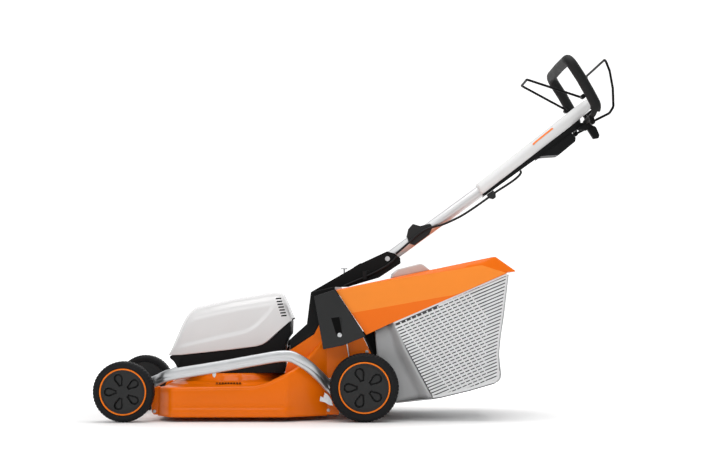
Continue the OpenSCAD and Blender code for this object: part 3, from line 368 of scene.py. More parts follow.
screw_places = {
    "skirt": (603, 161.8, 30, 4.0),
    "rear": (608, 161.8, 122, 4.0),
    "lip": (718, 161.8, 205, 4.0),
    "corner": (82, 167, 27, 4.2),
}
slot_pitch = 8.6
for hand, side in (("left", -1), ("right", 1)):
    for place, (back, across, up, radius) in screw_places.items():
        head = pan_screw(f"deck_screw_{place}_{hand}", at(back, side * across, up), (0, side, 0), radius,
                         "deck")
        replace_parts(head, "deck_screws")
    for k in range(9):
        front, rear = 268 + slot_pitch * k, 274 + slot_pitch * k
        slot_outline = [(front, 111), (rear, 111), (rear, 114.4), (front, 114.4)]
        slot_hole = pressed_plate(f"deck_slot_{hand}_{k}", slot_outline, side * 188.5, side * 184, "deck",
                                  shade_black, 0.3)
    gusset_outline = [(99, 17), (80, 17), (74, 24), (72, 50), (73, 84), (77, 94), (86, 100), (99, 103)]
    gusset = pressed_plate(f"front_gusset_{hand}", gusset_outline, side * 167, side * 150, "deck",
                           orange_powder_coat, 3.5)
    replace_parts(gusset, "deck_shell")

# ---- Link brackets ----
# Zinc plated steel ears welded to the deck, with a riveted pin for each lifting link.
dress("deck_brackets", bright_zinc, 0.5)

# ---- Motor housing base ----
# Glass-filled nylon tray on the motor seat: it carries the motor and the packs, and its sloped
# rear wall has a rib grid and the cover's latch.
black_nylon = finish("black_nylon", (0.0045, 0.0047, 0.005), 0.46, mottle=0.12, grain=1400, depth=0.00006,
                     shine=0.14)
dark_nylon = finish("dark_nylon", (0.017, 0.0176, 0.018), 0.42, mottle=0.1, grain=1400, depth=0.00006,
                    shine=0.25)
motor_enamel = finish("motor_enamel", (0.02, 0.02, 0.022), 0.5, mottle=0.15)
pack_plastic = finish("pack_plastic", (0.05, 0.052, 0.056), 0.48, mottle=0.1)
dress("motor_base", black_nylon, 1.6)
dress("drive_motor", motor_enamel, 0.6)
dress("battery_tray", dark_nylon, 0.8)
dress("battery_left", pack_plastic, 2.0)
dress("battery_right", pack_plastic, 2.0)

# ---- Motor cover ----
# Glossy white moulding, 3 mm thick, hinged at the front: a crowned hood with a soft ledge
# that climbs to the back on each side, and a ladder of cooling slots behind it.
gloss_white = finish("gloss_white", (0.69, 0.68, 0.68), 0.24, mottle=0.012, grain=500, depth=0.00001,
                     coat=0.25, shine=0.4)
hood_low = [(117, 192.6), (120, 193), (157, 194.4), (310, 211), (387, 221), (403, 226), (418, 235),
            (452, 266), (486, 296), (492.5, 299)]
hood_high = [(117, 194.5), (122.5, 208), (138.5, 248), (157, 291), (175, 323), (194, 338), (227, 346.5),
             (310, 365), (433, 386), (452, 385), (463, 378), (471, 360), (479, 342), (493, 300)]
hood_plan = [(117, 108), (135, 121), (160, 131), (200, 137), (260, 139.5), (430, 139.5), (470, 136),
             (493, 131)]
ledge_line = [(120, 212), (190, 229.5), (356, 266.5), (387, 285), (421, 322), (450, 362), (493, 420)]


def hood_section(back, inset=0.0):
    low = soft_read(hood_low, back, 3)
    high = max(low + 0.8, soft_read(hood_high, back, 5 if back > 130 else 1))
    width = soft_read(hood_plan, back, 6)
    ledge = min(soft_read(ledge_line, back, 12), high + 30)
    tall = high - low
    bend = min(44.0, tall * 0.62)
    rise = [0, 0.02, 0.06] + [0.06 + 0.94 * k / 22 for k in range(1, 23)]
    side = []
    for t in rise:
        up = low + (tall - bend) * t
        bulge = 4.2 * (1 - ease(ledge - 5, ledge + 4, up)) * ease(120, 180, back)
        lean = 5.5 * (up - low) / 140
        side.append((width - 4.2 * ease(120, 180, back) + bulge - lean - (0.8 if t == 0 else 0), up))
    corner_across, corner_up = side[-1]
    across_bend = min(56.0, width * 0.5)
    for step in range(1, 9):
        turn = math.radians(90 * step / 8)
        side.append((corner_across - across_bend * (1 - math.cos(turn)),
                     corner_up + bend * math.sin(turn) * 0.94))
    inner, crown = side[-1]
    for step in range(1, 9):
        share = 1 - step / 8
        side.append((inner * share, crown + (high - crown) * (1 - share * share)))
    side = [(max(0.0, across - inset), up - inset * ease(low, high, up)) for across, up in side]
    near = [at(back, -across, up) for across, up in side]
    return near + [at(back, across, up) for across, up in reversed(side[:-1])]


hood_stations = [117.2, 118.4, 120, 123, 127, 130, 134, 138, 143, 148, 153, 158, 164, 170, 176, 182, 188,
                 194]
hood_stations += list(range(201, 446, 7)) + [450, 454, 458, 461, 464, 467, 470, 473, 476, 479, 482, 485,
                                             488, 491, 492.8]
hood = skinned("motor_hood", [hood_section(back) for back in hood_stations], "cover", gloss_white,
               loop=False, ends=False, crisp=60)
thick = hood.modifiers.new("moulding_gauge", "SOLIDIFY")
thick.thickness = 0.0028
thick.offset = -1
cutters = bpy.data.meshes.new("slot_cutter")
box_faces = [(0, 1, 2, 3), (7, 6, 5, 4), (0, 4, 5, 1), (1, 5, 6, 2), (2, 6, 7, 3), (3, 7, 4, 0)]
cutter_points, cutter_faces = [], []
for side in (-1, 1):
    for k in range(7):
        back, up = 442.6 + 2.85 * k, 362.4 - 8.6 * k
        ring = [(back, up - 0.6), (back + 16.5, up + 0.4), (back + 17, up + 4.8), (back + 0.8, up + 3.8)]
        start = len(cutter_points)
        for across in (side * 150, side * 84):
            cutter_points += [tuple(at(b, across, u)) for b, u in ring]
        cutter_faces += [tuple(start + i for i in face) for face in box_faces]
cutters.from_pydata(cutter_points, [], cutter_faces)
slot_cutter = bpy.data.objects.new("slot_cutter", cutters)
bpy.context.scene.collection.objects.link(slot_cutter)
tidy_cutter = bmesh.new()
tidy_cutter.from_mesh(cutters)
bmesh.ops.recalc_face_normals(tidy_cutter, faces=tidy_cutter.faces)
tidy_cutter.to_mesh(cutters)
tidy_cutter.free()
punch = hood.modifiers.new("cooling_slots", "BOOLEAN")
punch.operation = "DIFFERENCE"
punch.object = slot_cutter
punch.solver = "EXACT"


def bake_modifiers(piece):
    """Applies a piece's modifiers, so that tools used in them can be removed."""
    graph = bpy.context.evaluated_depsgraph_get()
    final = bpy.data.meshes.new_from_object(piece.evaluated_get(graph))
    piece.modifiers.clear()
    piece.data = final


bake_modifiers(hood)
bpy.data.objects.remove(slot_cutter)
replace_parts(hood, "motor_cover")
# A black sheet just inside the cover under the slots: painted shade of the cover's inside seen through the
# slots.
slot_shade_sections = [hood_section(back, 3.4) for back in (436, 444, 450, 456, 462, 468, 474, 480)]
screen = skinned("hood_screen", slot_shade_sections, "cover", shade_black, loop=False, ends=False, crisp=60)
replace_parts(screen, "motor_cover")

# ---- Console, cheeks and arm ----
# Black nylon console on the tower, with a ribbed front, a dark grey cheek screwed over each end
# of the joint to the catcher, and the arm that the handle column folds in.
dress("rear_console", black_nylon, 1.5)
dress("cheek_left", dark_nylon, 3.0)
dress("cheek_right", dark_nylon, 3.0)
dress("handle_fork", black_nylon, 2.5)
dress("fold_bolt", bright_zinc, 0.8)
dress("latch_hook", bright_zinc, 0.8)
dress("flap_rod", bright_zinc, 0.3)
for hand, side in (("left", -1), ("right", 1)):
    head = pan_screw(f"cheek_screw_{hand}", at(636, side * 219.4, 257), (0, side, 0), 5.6, "deck")
    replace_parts(head, "cheek_screws")
    # Black plate in the recess round each cheek screw: painted shade in the recess.
    pressed_plate(f"cheek_pocket_{hand}", [(611, 307), (635, 310), (644, 262), (636, 248), (627, 256)],
                           side * 220.2, side * 217.5, "deck", shade_black, 0.2)
    # Black plates in the gap along the lid's front edge and behind the tower's mouth: painted shade in
    # these gaps.
    pressed_plate(f"parting_seal_{hand}", [(620.4, 390.0), (623.2, 391.8), (714.6, 253.8), (711.4, 252)],
                          side * 218, side * 160, "deck", shade_black, 0.2)
    pressed_plate(f"mouth_seal_{hand}", [(709, 250), (714, 262), (738, 268), (748, 203), (742, 180),
                                         (733, 196)], side * 161.9, side * 157, "deck", shade_black, 0.6)
pressed_plate("arm_top_clip", [(682, 458), (704, 470), (706, 473), (700, 474), (680, 462)], -30, 30,
              "deck", black_nylon, 0.8)
pressed_plate("arm_side_clip", [(708, 436), (714, 449), (724, 452), (731, 446), (729, 434), (718, 428)],
              -51, -44, "deck", black_nylon, 1.6)
dress("drive_rod", bright_zinc)
seal_rubber = finish("seal_rubber", (0.006, 0.006, 0.006), 0.7, mottle=0.15, shine=0.2)
dress("chute_seal", seal_rubber, 0.6)
dress("discharge_flap", black_nylon, 0.8)
cable_jacket = finish("cable_jacket", (0.006, 0.006, 0.007), 0.5, mottle=0.1, shine=0.25)
dress("motor_cable", cable_jacket)
dress("cable_lower", cable_jacket)

# ---- Cutting gear ----
# One-piece steel blade with turned-up lifting wings, clamped by a hex bolt under the motor shaft.
blade_steel = finish("blade_steel", (0.03, 0.03, 0.032), 0.45, metal=0.6, mottle=0.2)
dress("blade", blade_steel, 0.6)
dress("blade_bolt", bright_zinc, 0.6)
dress("motor_shaft", bright_zinc, 0.5)

# ---- Carriage ----
# Two axles, each through a riveted steel plate, joined on both sides by a flat-oval silver rail
# that is bent out round the deck; the rear axle also carries the drive gearbox.
dress("front_link", bright_zinc, 0.8)
dress("rear_links", bright_zinc, 0.4)
dress("front_axle", bright_zinc, 0.5)
dress("rear_axle", bright_zinc, 0.5)
dress("gearbox", black_nylon, 2.0)
satin_silver = finish("satin_silver", (0.53, 0.54, 0.55), 0.42, metal=1.0, mottle=0.04, patch=25)
rail_route = [(48, 185, 102), (66, 185, 109), (80, 185, 115), (92, 189, 120), (104, 203, 126),
              (114, 219, 131), (128, 232, 137), (150, 238, 142), (191, 238, 149), (247, 238, 158),
              (310, 238, 168.5), (373, 238, 180), (435, 238, 191), (460, 238, 194.5), (484, 238, 195),
              (500, 238, 191.5), (516, 238, 183.5), (532, 236, 174), (548, 229, 162), (562, 220, 149),
              (581, 204, 130), (597, 190, 111), (608, 186, 99), (617, 185, 90), (637, 185, 70)]


def smooth_route(points, per=4):
    """Catmull-Rom curve through points, with per steps between each two."""
    padded = [points[0] * 2 - points[1]] + points + [points[-1] * 2 - points[-2]]
    out = []
    for a, b, c, d in zip(padded, padded[1:], padded[2:], padded[3:]):
        for step in range(per):
            t = step / per
            out.append(0.5 * (2 * b + (c - a) * t + (2 * a - 5 * b + 4 * c - d) * t * t
                              + (3 * b - a - 3 * c + d) * t * t * t))
    return out + [points[-1]]


def swept(name, route, section, body, coating, up=None, crisp=40, sizes=None):
    """Bar swept along a route; up keeps the section's second axis upright, sizes scales it on the way."""
    rings = []
    carried = None
    for i, centre in enumerate(route):
        along = (route[min(i + 1, len(route) - 1)] - route[max(i - 1, 0)]).normalized()
        if up is not None:
            second = (up - along * up.dot(along)).normalized()
        elif carried is None:
            second = along.orthogonal().normalized()
        else:
            second = (carried - along * carried.dot(along)).normalized()
        carried = second
        first = second.cross(along)
        size = (sizes[i] if sizes else 1.0) * MM
        rings.append([centre + first * a * size + second * b * size for a, b in section])
    return skinned(name, rings, body, coating, crisp=crisp)


def rail_section():
    points = []
    broad = [(-10, 8.6), (-7, 9.0), (-5.6, 8.8), (-4.6, 8.1), (-3.4, 8.1), (-2.4, 8.8), (4, 9.0),
             (10, 8.6)]
    for face in (1, -1):
        points += [(face * out, up) for up, out in broad[::face]]
        for turn in range(25, 180, 26):
            a = math.radians(turn)
            points.append((face * 8.4 * math.cos(a), face * (10.4 + 6.6 * math.sin(a))))
    return points


for hand, side in (("left", -1), ("right", 1)):
    route = smooth_route([at(b, side * a, u) for b, a, u in rail_route], 4)
    rail = swept(f"side_rail_{hand}", route, rail_section(), "carriage", satin_silver, Vector((0, 0, 1)))
    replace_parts(rail, f"rail_{hand}")
    pressed_plate(f"axle_tooth_{hand}", [(577, 60), (579, 75), (588, 70), (592, 86), (600, 80), (606, 74),
                                         (613, 62), (617, 46), (606, 48), (592, 56)], side * 198,
                  side * 195, "carriage", bright_zinc, 0.6)
    lug = pressed_plate(f"rail_lug_{hand}", [(261, 150), (274, 152), (273, 137), (268, 131), (263, 137)],
                        side * 240, side * 236, "carriage", bright_zinc, 1.2)
    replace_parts(lug, f"rail_{hand}")

# ---- Wheels ----
# Blow-moulded tyre with a ribbed shoulder on a nylon hub; a snap-in cap with five drop-shaped
# hollows, framed by a thin orange ring. The rear wheels are larger and have a deeper tread.
tyre_rubber = finish("tyre_rubber", (0.0048, 0.005, 0.0058), 0.58, mottle=0.2, patch=18, grain=900,
                     depth=0.0001, shine=0.2)
cap_nylon = finish("cap_nylon", (0.013, 0.0135, 0.0137), 0.42, mottle=0.1, patch=12, grain=1500,
                   depth=0.00007, shine=0.3)
signal_orange = finish("signal_orange", (0.86, 0.18, 0.001), 0.35, mottle=0.02, shine=0.3)


def turned(name, centre, side, profile, body, coating, turns=96, ends=False, relief=None, crisp=35,
           loop_rings=True):
    """Ring turned about an axle: profile of (radius, outward) points, relief changes the radius."""
    rings = []
    for j, (radius, out) in enumerate(profile):
        ring = []
        for k in range(turns):
            angle = math.tau * k / turns
            r = (radius - (relief(j, k) if relief else 0)) * MM
            ring.append(centre + Vector((r * math.cos(angle), side * out * MM, r * math.sin(angle))))
        rings.append(ring)
    if loop_rings:
        rings.append(rings[0])
    return skinned(name, rings, body, coating, loop=True, ends=ends, crisp=crisp)


def drop_depth(x, y, reach, size):
    """How far a point lies inside the nearest of five drop-shaped hollows, in millimetres."""
    best = -99.0
    for k in range(5):
        turn = math.radians(72 * k + 54)
        along = x * math.sin(turn) + y * math.cos(turn)
        across = abs(x * math.cos(turn) - y * math.sin(turn))
        head = size - math.hypot(across, along - reach)
        tail_end = reach - size * 1.9
        taper = size * (0.46 + 0.53 * ease(0, 1, (along - tail_end) / (reach - tail_end)))
        tail = min(taper - across, along - tail_end, reach - along + size * 0.3)
        best = max(best, head, tail)
    return best


for corner in ("fl", "fr", "rl", "rr"):
    low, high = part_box(f"tyre_{corner}")
    centre = (low + high) / 2
    side = -1 if corner.endswith("l") else 1
    big = (high.z - low.z) / 2 / MM
    rim = (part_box(f"ring_{corner}")[1].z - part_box(f"ring_{corner}")[0].z) / 2 / MM
    body = f"wheel_{corner}"
    rear = corner.startswith("r")
    profile = [(rim, -20), (rim + 6, -23), (big - 10, -24.6), (big - 5, -23), (big - 2.2, -20.5),
               (big - 1.0, -18), (big - 0.4, -14), (big - 0.1, -9), (big - 0.1, -3.4), (big - 1.6, -3),
               (big - 1.6, 3), (big - 0.1, 3.4), (big - 0.1, 9), (big - 0.4, 14), (big - 1.0, 18),
               (big - 2.2, 20.5), (big - 5, 23), (big - 8, 24.4), (big - 9.4, 24.2), (big - 10.2, 24.7),
               (rim + 4, 23.6), (rim + 1.2, 22.4), (rim + 0.4, 20.5), (rim + 0.2, 12), (rim - 3, 0),
               (rim - 0.5, -12)]
    lugs = 60 if rear else 54

    def tread(j, k):
        shoulder = 3 <= j <= 8 or 11 <= j <= 16
        if not shoulder:
            return 0.0
        skew = 2 if j <= 8 else 0
        cut = (k + skew) % 4 == 0
        return (2.4 if rear else 1.3) if cut else 0.0

    tyre_piece = turned(f"tread_tyre_{corner}", centre, side, profile, body, tyre_rubber, turns=4 * lugs,
                        relief=tread)
    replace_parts(tyre_piece, f"tyre_{corner}")
    band = [(rim - 4.6, 20), (rim - 0.2, 20), (rim - 0.2, 22.4), (rim - 0.8, 23.6), (rim - 2.4, 24.0),
            (rim - 4.0, 23.6), (rim - 4.6, 22.4)]
    band_piece = turned(f"cap_band_{corner}", centre, side, band, body, signal_orange)
    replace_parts(band_piece, f"ring_{corner}")
    points, faces = [], []
    spokes, rounds = 240, 60
    for j in range(rounds + 1):
        r = (rim - 5.0) * (j / rounds)
        for k in range(spokes):
            angle = math.tau * k / spokes
            x, y = r * math.cos(angle), r * math.sin(angle)
            share = r / (rim - 5.0)
            out = 22.6 - 1.8 * share * share
            out -= 1.2 * (ease(0.90, 0.925, share) - ease(0.965, 0.985, share))
            inside = drop_depth(x * -side, y, rim * 0.61, rim * 0.185)
            out -= 6.2 * ease(0.0, 1.2, inside) - 2.6 * ease(2.4, 5.0, inside)
            out += 0.4 * (1 - ease(0.0, 1.2, abs(inside + 1.5)))
            points.append(centre + Vector((x * MM, side * out * MM, y * MM)))
    for j in range(rounds):
        for k in range(spokes):
            m = (k + 1) % spokes
            faces.append((j * spokes + k, j * spokes + m, (j + 1) * spokes + m, (j + 1) * spokes + k))
    cap = add_piece(f"wheel_cap_{corner}", points, faces, body, cap_nylon, crisp=60)
    # The walls of the drop hollows take the black: painted shade in the hollows, on a cap that is one
    # nylon throughout.
    cap.data.materials.append(shade_black)
    for face in cap.data.polygons:
        reach = (face.center - centre) / MM
        inside = drop_depth(reach.x * -side, reach.z, rim * 0.61, rim * 0.185)
        face.material_index = 1 if 0.1 < inside < 1.5 else 0
    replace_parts(cap, f"hub_{corner}")
    back_profile = [(9, -19), (rim - 18, -19), (rim - 12, -21), (rim - 2, -21), (rim - 0.5, -19),
                    (rim - 0.6, 17), (rim - 4.8, 20.4), (rim - 6, 19.6), (rim - 7, -14), (20, -12),
                    (17, 10), (9, 10)]
    inner_hub = turned(f"hub_back_{corner}", centre, side, back_profile, body, cap_nylon, turns=72)
    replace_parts(inner_hub, f"hub_{corner}")

# ---- Catcher lid ----
# Orange moulding, 3 mm thick, that hooks over the console: a crowned top with a recess for the
# flap and the arm, a chamfered shoulder that widens to the rear lip, and a folded-in lower strip.
orange_moulding = finish("orange_moulding", (0.82, 0.15, 0.0005), 0.36, mottle=0.02, coat=0.06,
                         shine=0.18)
orange_matte = finish("orange_matte", (0.86, 0.24, 0.022), 0.55, mottle=0.03, grain=1300, depth=0.00009,
                      shine=0.25)
lid_high, lid_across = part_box("catcher_lid")
lid_half = (lid_across.y - lid_high.y) / 2 / MM
shares = [0, 0.18, 0.62, 0.82, 1.0]
lid_top = [(624.8, 390.6), (734, 413.4), (1000, 469.2), (1098, 489.6), (1159, 446.5)]
lid_crease = [(627.2, 387.2), (734, 411.2), (990, 451.5), (1057, 463.5), (1122, 442.5)]
lid_turn = [(670, 321.6), (742, 334), (986, 377.6), (1050, 405.6), (1131, 441.5)]
lid_foot = [(714.9, 257), (786, 290), (988, 376.5), (1051, 404), (1132, 439.6)]


def along_lid(line, t):
    backs = [(s, p[0]) for s, p in zip(shares, line)]
    ups = [(s, p[1]) for s, p in zip(shares, line)]
    return read_off(backs, t), read_off(ups, t)


def lid_ring(t):
    top, crease, turn, foot = (along_lid(line, t) for line in (lid_top, lid_crease, lid_turn, lid_foot))
    half = lid_half - 0.3
    side = [(foot[0], half - 5, foot[1]), (turn[0], half - 0.6, turn[1])]
    for step in (0.2, 0.5, 0.8):
        side.append((turn[0] + (crease[0] - turn[0]) * step, half - 0.4 - 2.2 * step * step,
                     turn[1] + (crease[1] - turn[1]) * step))
    side.append((crease[0], half - 3.2, crease[1]))
    side.append(((crease[0] + top[0]) / 2, half - 8.5, (crease[1] + top[1]) / 2 + 0.4))
    side.append((top[0], half - 16, top[1]))
    recess = 11.2 if top[0] < 771 and t < 0.6 else 0.0
    for across in (190, 178, 172.5, 166.5, 150, 110, 70, 35, 0):
        drop = recess if across < 170 else 0.0
        crown = 0.0
        side.append((top[0] + drop * 0.2, across, top[1] + crown - drop))
    near = [at(b, -a, u) for b, a, u in side]
    return near + [at(b, a, u) for b, a, u in reversed(side[:-1])]


lid_steps = [k / 40 for k in range(0, 10)] + [0.2389, 0.2431] + [k / 40 for k in range(10, 41)]
lid = skinned("catcher_hood", [lid_ring(t) for t in sorted(set(lid_steps))], "catcher", orange_moulding,
              loop=False, ends=False, crisp=28)
lid.data.materials.append(orange_matte)
ring_size = len(lid_ring(0.5))
for face in lid.data.polygons:
    rank = min(k % ring_size for k in face.vertices)
    rank = min(rank, ring_size - 2 - rank)
    face.material_index = 1 if 1 <= rank <= 4 else 0
gauge = lid.modifiers.new("moulding_gauge", "SOLIDIFY")
gauge.thickness = 0.0028
gauge.offset = -1
rounding = lid.modifiers.new("edge_round", "BEVEL")
rounding.width = 0.0009
rounding.segments = 2
rounding.limit_method = "ANGLE"
rounding.angle_limit = math.radians(26)
lid.modifiers.new("even_shading", "WEIGHTED_NORMAL")
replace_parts(lid, "catcher_lid")
light_grey_moulding = finish("light_grey_moulding", (0.62, 0.62, 0.615), 0.3, mottle=0.02)
dress("catcher_grip", light_grey_moulding, 5.0)

# ---- Catcher basket ----
# Grey moulding: smooth at the front, and from a slanting frame back a lattice of sloping ribs
# with short webs between them, so that air leaves and the cut grass stays.
grey_moulding = finish("grey_moulding", (0.4, 0.405, 0.41), 0.46, mottle=0.05, patch=9)
# The ribs' grey is a lighter copy of the moulding's grey: a painted highlight on the rib crests.
rib_grey = finish("rib_grey", (0.72, 0.725, 0.73), 0.42, mottle=0.04, patch=9)
groove_shade_grey = finish("groove_shade_grey", (0.06, 0.061, 0.063), 0.6, mottle=0.08, shine=0.3)
basket_dark = finish("basket_dark", (0.02, 0.02, 0.021), 0.7, mottle=0.1, shine=0.2)
basket_half = 166.0
basket_rear_half = 204.0


def basket_wall(name, outline, near, far, coating, edge=1.5):
    wall = pressed_plate(name, outline, near, far, "catcher", coating, edge)
    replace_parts(wall, "catcher_basket")
    return wall


for hand, side in (("left", -1), ("right", 1)):
    rows = []
    for t in [k / 12 for k in range(13)]:
        low_back, low_up = 805.5 + (911 - 805.5) * t, 53 + (71 - 53) * t
        top_back, top_up = 742 + (797 - 742) * t, 270 + (300 - 270) * t
        mid_back, mid_up = 747.5 + (835 - 747.5) * t, 197 + (211 - 197) * t
        flare = ease(0.62, 1.0, t)
        row = []
        for s in [k / 14 for k in range(15)]:
            if s < 0.3:
                w = s / 0.3
                b, u = top_back + (mid_back - top_back) * w, top_up + (mid_up - top_up) * w
            else:
                w = (s - 0.3) / 0.7
                b, u = mid_back + (low_back - mid_back) * w, mid_up + (low_up - mid_up) * w
            row.append(at(b, side * (basket_half + (basket_rear_half - basket_half) * flare), u))
        rows.append(row)
    cheek = skinned(f"basket_cheek_{hand}", rows, "catcher", grey_moulding, loop=False, ends=False,
                    crisp=60)
    thicken(cheek, 3.0, 0)
    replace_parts(cheek, "catcher_basket")

floor_line = [(805.5, 53), (909, 66.5), (935, 71), (1022, 92), (1065, 104.5), (1094, 113), (1106, 120),
              (1112, 128), (1114, 140), (1111, 166), (1107.5, 200), (1112.5, 252), (1122, 314),
              (1129.5, 380), (1136, 436)]
floor_rings = []
for across in [-205 + 41 * k for k in range(11)]:
    floor_rings.append([at(b, across if b > 900 else across * basket_half / 205, u) for b,
                        u in floor_line])
basket_floor = skinned("basket_floor", floor_rings, "catcher", grey_moulding, loop=False, ends=False,
                       crisp=30)
thicken(basket_floor, 3.0, 0)
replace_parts(basket_floor, "catcher_basket")
front_rings = [[at(747.5, across, 198), at(776, across, 127), at(805.5, across, 53)]
               for across in (-basket_half, -80, 0, 80, basket_half)]
basket_front = skinned("basket_front", front_rings, "catcher", grey_moulding, loop=False, ends=False)
thicken(basket_front, 3.0, 0)
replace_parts(basket_front, "catcher_basket")


rib_slope = 0.42


def lattice_ends(height, slope=rib_slope):
    """Where the sloping line that passes the given height at the front crosses the basket's side."""
    edge = [(797, 287), (914, 72), (936, 75), (1022, 95), (1065, 107), (1092, 115), (1104, 123),
            (1108, 139), (1105, 166), (1102, 200), (1107, 252), (1116, 314), (1124, 380), (1131, 430),
            (1052, 397), (988, 368), (850, 309)]
    hits = []
    for (b0, u0), (b1, u1) in zip(edge, edge[1:] + edge[:1]):
        g0 = u0 - (height + slope * (b0 - 900))
        g1 = u1 - (height + slope * (b1 - 900))
        if g0 * g1 < 0:
            t = g0 / (g0 - g1)
            hits.append((b0 + (b1 - b0) * t, u0 + (u1 - u0) * t))
    return sorted(hits)


rib_gap = 10.2
for hand, side in (("left", -1), ("right", 1)):
    points, faces = [], []
    skin_across = basket_rear_half

    def lattice_bar(start, end, tall, out, depth):
        """Bar between two (back, up) points on the side face, with a rounded outer face."""
        run = math.hypot(end[0] - start[0], end[1] - start[1])
        nb, nu = -(end[1] - start[1]) / run, (end[0] - start[0]) / run
        section = [(-0.5, -depth), (-0.5, -0.6), (-0.32, out * 0.7), (0, out), (0.32, out * 0.7),
                   (0.5, -0.6), (0.5, -depth)]
        first = len(points)
        for b, u in (start, end):
            for share, lift in section:
                points.append(at(b + nb * share * tall, side * (skin_across + lift),
                                 u + nu * share * tall))
        m = len(section)
        for j in range(m):
            k = (j + 1) % m
            faces.append((first + j, first + k, first + m + k, first + m + j))
        faces.append(tuple(first + j for j in range(m)))
        faces.append(tuple(first + m + j for j in reversed(range(m))))

    for row in range(-12, 26):
        hits = lattice_ends(96 + rib_gap * row)
        if len(hits) < 2 or hits[-1][0] - hits[0][0] < 14:
            continue
        (b0, u0), (b1, u1) = hits[0], hits[-1]
        lattice_bar((b0, u0), (b1, u1), 6.4, 2.2, 2.6)
        height = 96 + rib_gap * row
        for column in range(14):
            back = (835 + (645 - height) * 0.738 + 20.5 * column) / (1 + 0.738 * rib_slope)
            up = height + rib_slope * (back - 900)
            if b0 + 4 < back < b1 - 4 and back < 1076:
                lattice_bar((back - 0.9, up + 2.2), (back - 3.4, up + rib_gap - 2.0), 4.2, 0.2, 2.4)
    rim = [((912, 73), (938, 77), 8), ((936, 76), (1023, 97), 9), ((1022, 97), (1095, 118), 9),
           ((1094, 117), (1107, 131), 9), ((1106, 130), (1107, 150), 9), ((1107, 148), (1103.5, 200), 5),
           ((1103.5, 198), (1108.5, 254), 5), ((1108.5, 252), (1118, 316), 5),
           ((1118, 314), (1126, 382), 5), ((1126, 380), (1133, 436), 5), ((796, 292), (988, 376), 7),
           ((987, 375), (1052, 404), 7), ((1050, 402), (1132, 437), 7)]
    for start, end, tall in rim:
        lattice_bar(start, end, tall, 0.9, 3.0)
    lattice = add_piece(f"basket_lattice_{hand}", points, faces, "catcher", rib_grey, crisp=50)
    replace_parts(lattice, "catcher_basket")
    # A dark sheet behind the ribs: painted shade in the grooves between them.
    basket_wall(f"basket_liner_{hand}", [(798, 290), (912, 76), (936, 79), (1022, 98), (1092, 119),
                                         (1105, 139), (1101, 200), (1108, 260), (1126, 400), (1130, 433),
                                         (988, 376)], side * 201.4, side * 200, groove_shade_grey, 0)
    # A darker sheet behind the middle of the lattice: painted shade of the basket's inside seen through
    # the openings. The same black also colours the lower edge bars.
    basket_wall(f"basket_opening_shade_{hand}", [(836, 287), (959, 112), (1042, 136), (1075, 404), (988, 368)],
                side * 201.9, side * 201.0, basket_dark, 0)
    points, faces = [], []
    for start, end in (((911, 67.2), (935, 71.2)), ((935, 71.2), (1022, 92.2)),
                       ((1022, 92.2), (1094, 113.2))):
        lattice_bar(start, end, 2.6, 1.8, 4.0)
    skin_across = basket_half
    lattice_bar((808, 53.2), (868, 61.3), 2.6, 1.8, 4.0)
    lower_edge = add_piece(f"basket_edge_{hand}", points, faces, "catcher", basket_dark, crisp=50)
    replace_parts(lower_edge, "catcher_basket")

rear_line = [(up, back) for back, up in floor_line[8:]]
points, faces = [], []
rear_rib = [(-1.5, -3.0), (1.2, -2.0), (1.9, 0), (1.2, 2.0), (-1.5, 3.0)]
for row in range(27):
    height = 150 + rib_gap * row
    wall = read_off(rear_line, height) + 1.5
    for near, far in ((-190, -66), (-60, 60), (66, 190)):
        first = len(points)
        for across in (near, far):
            points += [at(wall + out, across, height + rise) for out, rise in rear_rib]
        m = len(rear_rib)
        faces += [(first + j, first + (j + 1) % m, first + m + (j + 1) % m, first + m + j)
                  for j in range(m)]
        faces += [tuple(range(first, first + m)), tuple(range(first + 2 * m - 1, first + m - 1, -1))]
rear_ribs = add_piece("basket_rear_ribs", points, faces, "catcher", rib_grey, crisp=50)
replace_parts(rear_ribs, "catcher_basket")

# ---- Handle column ----
# Silver tube that folds on the arm's bolt, with a saddle and a clip for the cable; a light grey
# shell and a black underside close round its upper half, and the switch box hangs below.
fold_low, fold_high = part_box("fold_bolt")
fold = (fold_low + fold_high) / 2
lean = math.radians(36.1)
column_along = Vector((math.cos(lean), 0, math.sin(lean)))
column_square = Vector((-math.sin(lean), 0, math.cos(lean)))


def on_column(along, across, square):
    """Point in metres: millimetres up the column from the fold bolt, across, and square to it."""
    return fold + column_along * (along * MM) + column_square * (square * MM) + Vector((0, across * MM,
            0))


satin_tube = finish("satin_tube", (0.6, 0.6, 0.605), 0.5, metal=1.0, mottle=0.04, patch=25)
tube_section = [(18 * math.cos(math.tau * k / 40), 18 * math.sin(math.tau * k / 40)) for k in range(40)]
column = swept("column_tube", [on_column(s, 0, 0) for s in (-22, -21.4, 0, 200, 420, 638, 639)],
               tube_section, "handle", satin_tube, Vector((0, 1, 0)))
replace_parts(column, "handle_tube")
dress("handle_underside", black_nylon, 1.2)
dress("switch_box", black_nylon, 0.5)
dress("cable_saddle", dark_nylon, 1.6)
dress("cable_clip", dark_nylon, 0.8)

shell_grey = finish("shell_grey", (0.66, 0.66, 0.66), 0.4, mottle=0.03)
shell_stations = [355, 356.5, 359, 363, 370, 400, 450, 500, 550, 600, 650, 700, 730, 745, 756, 770, 782,
                  792, 798, 802, 804.4]
shell_low = [(355, -12), (737, -1), (752, 0), (805, 9)]
shell_high = [(355, 6), (357, 16), (361, 24.5), (750, 37.4), (786, 38), (798, 31), (801, 25), (805, 10)]
shell_half = [(355, 27), (358, 30), (366, 31), (770, 31), (790, 29), (800, 24), (805, 18)]


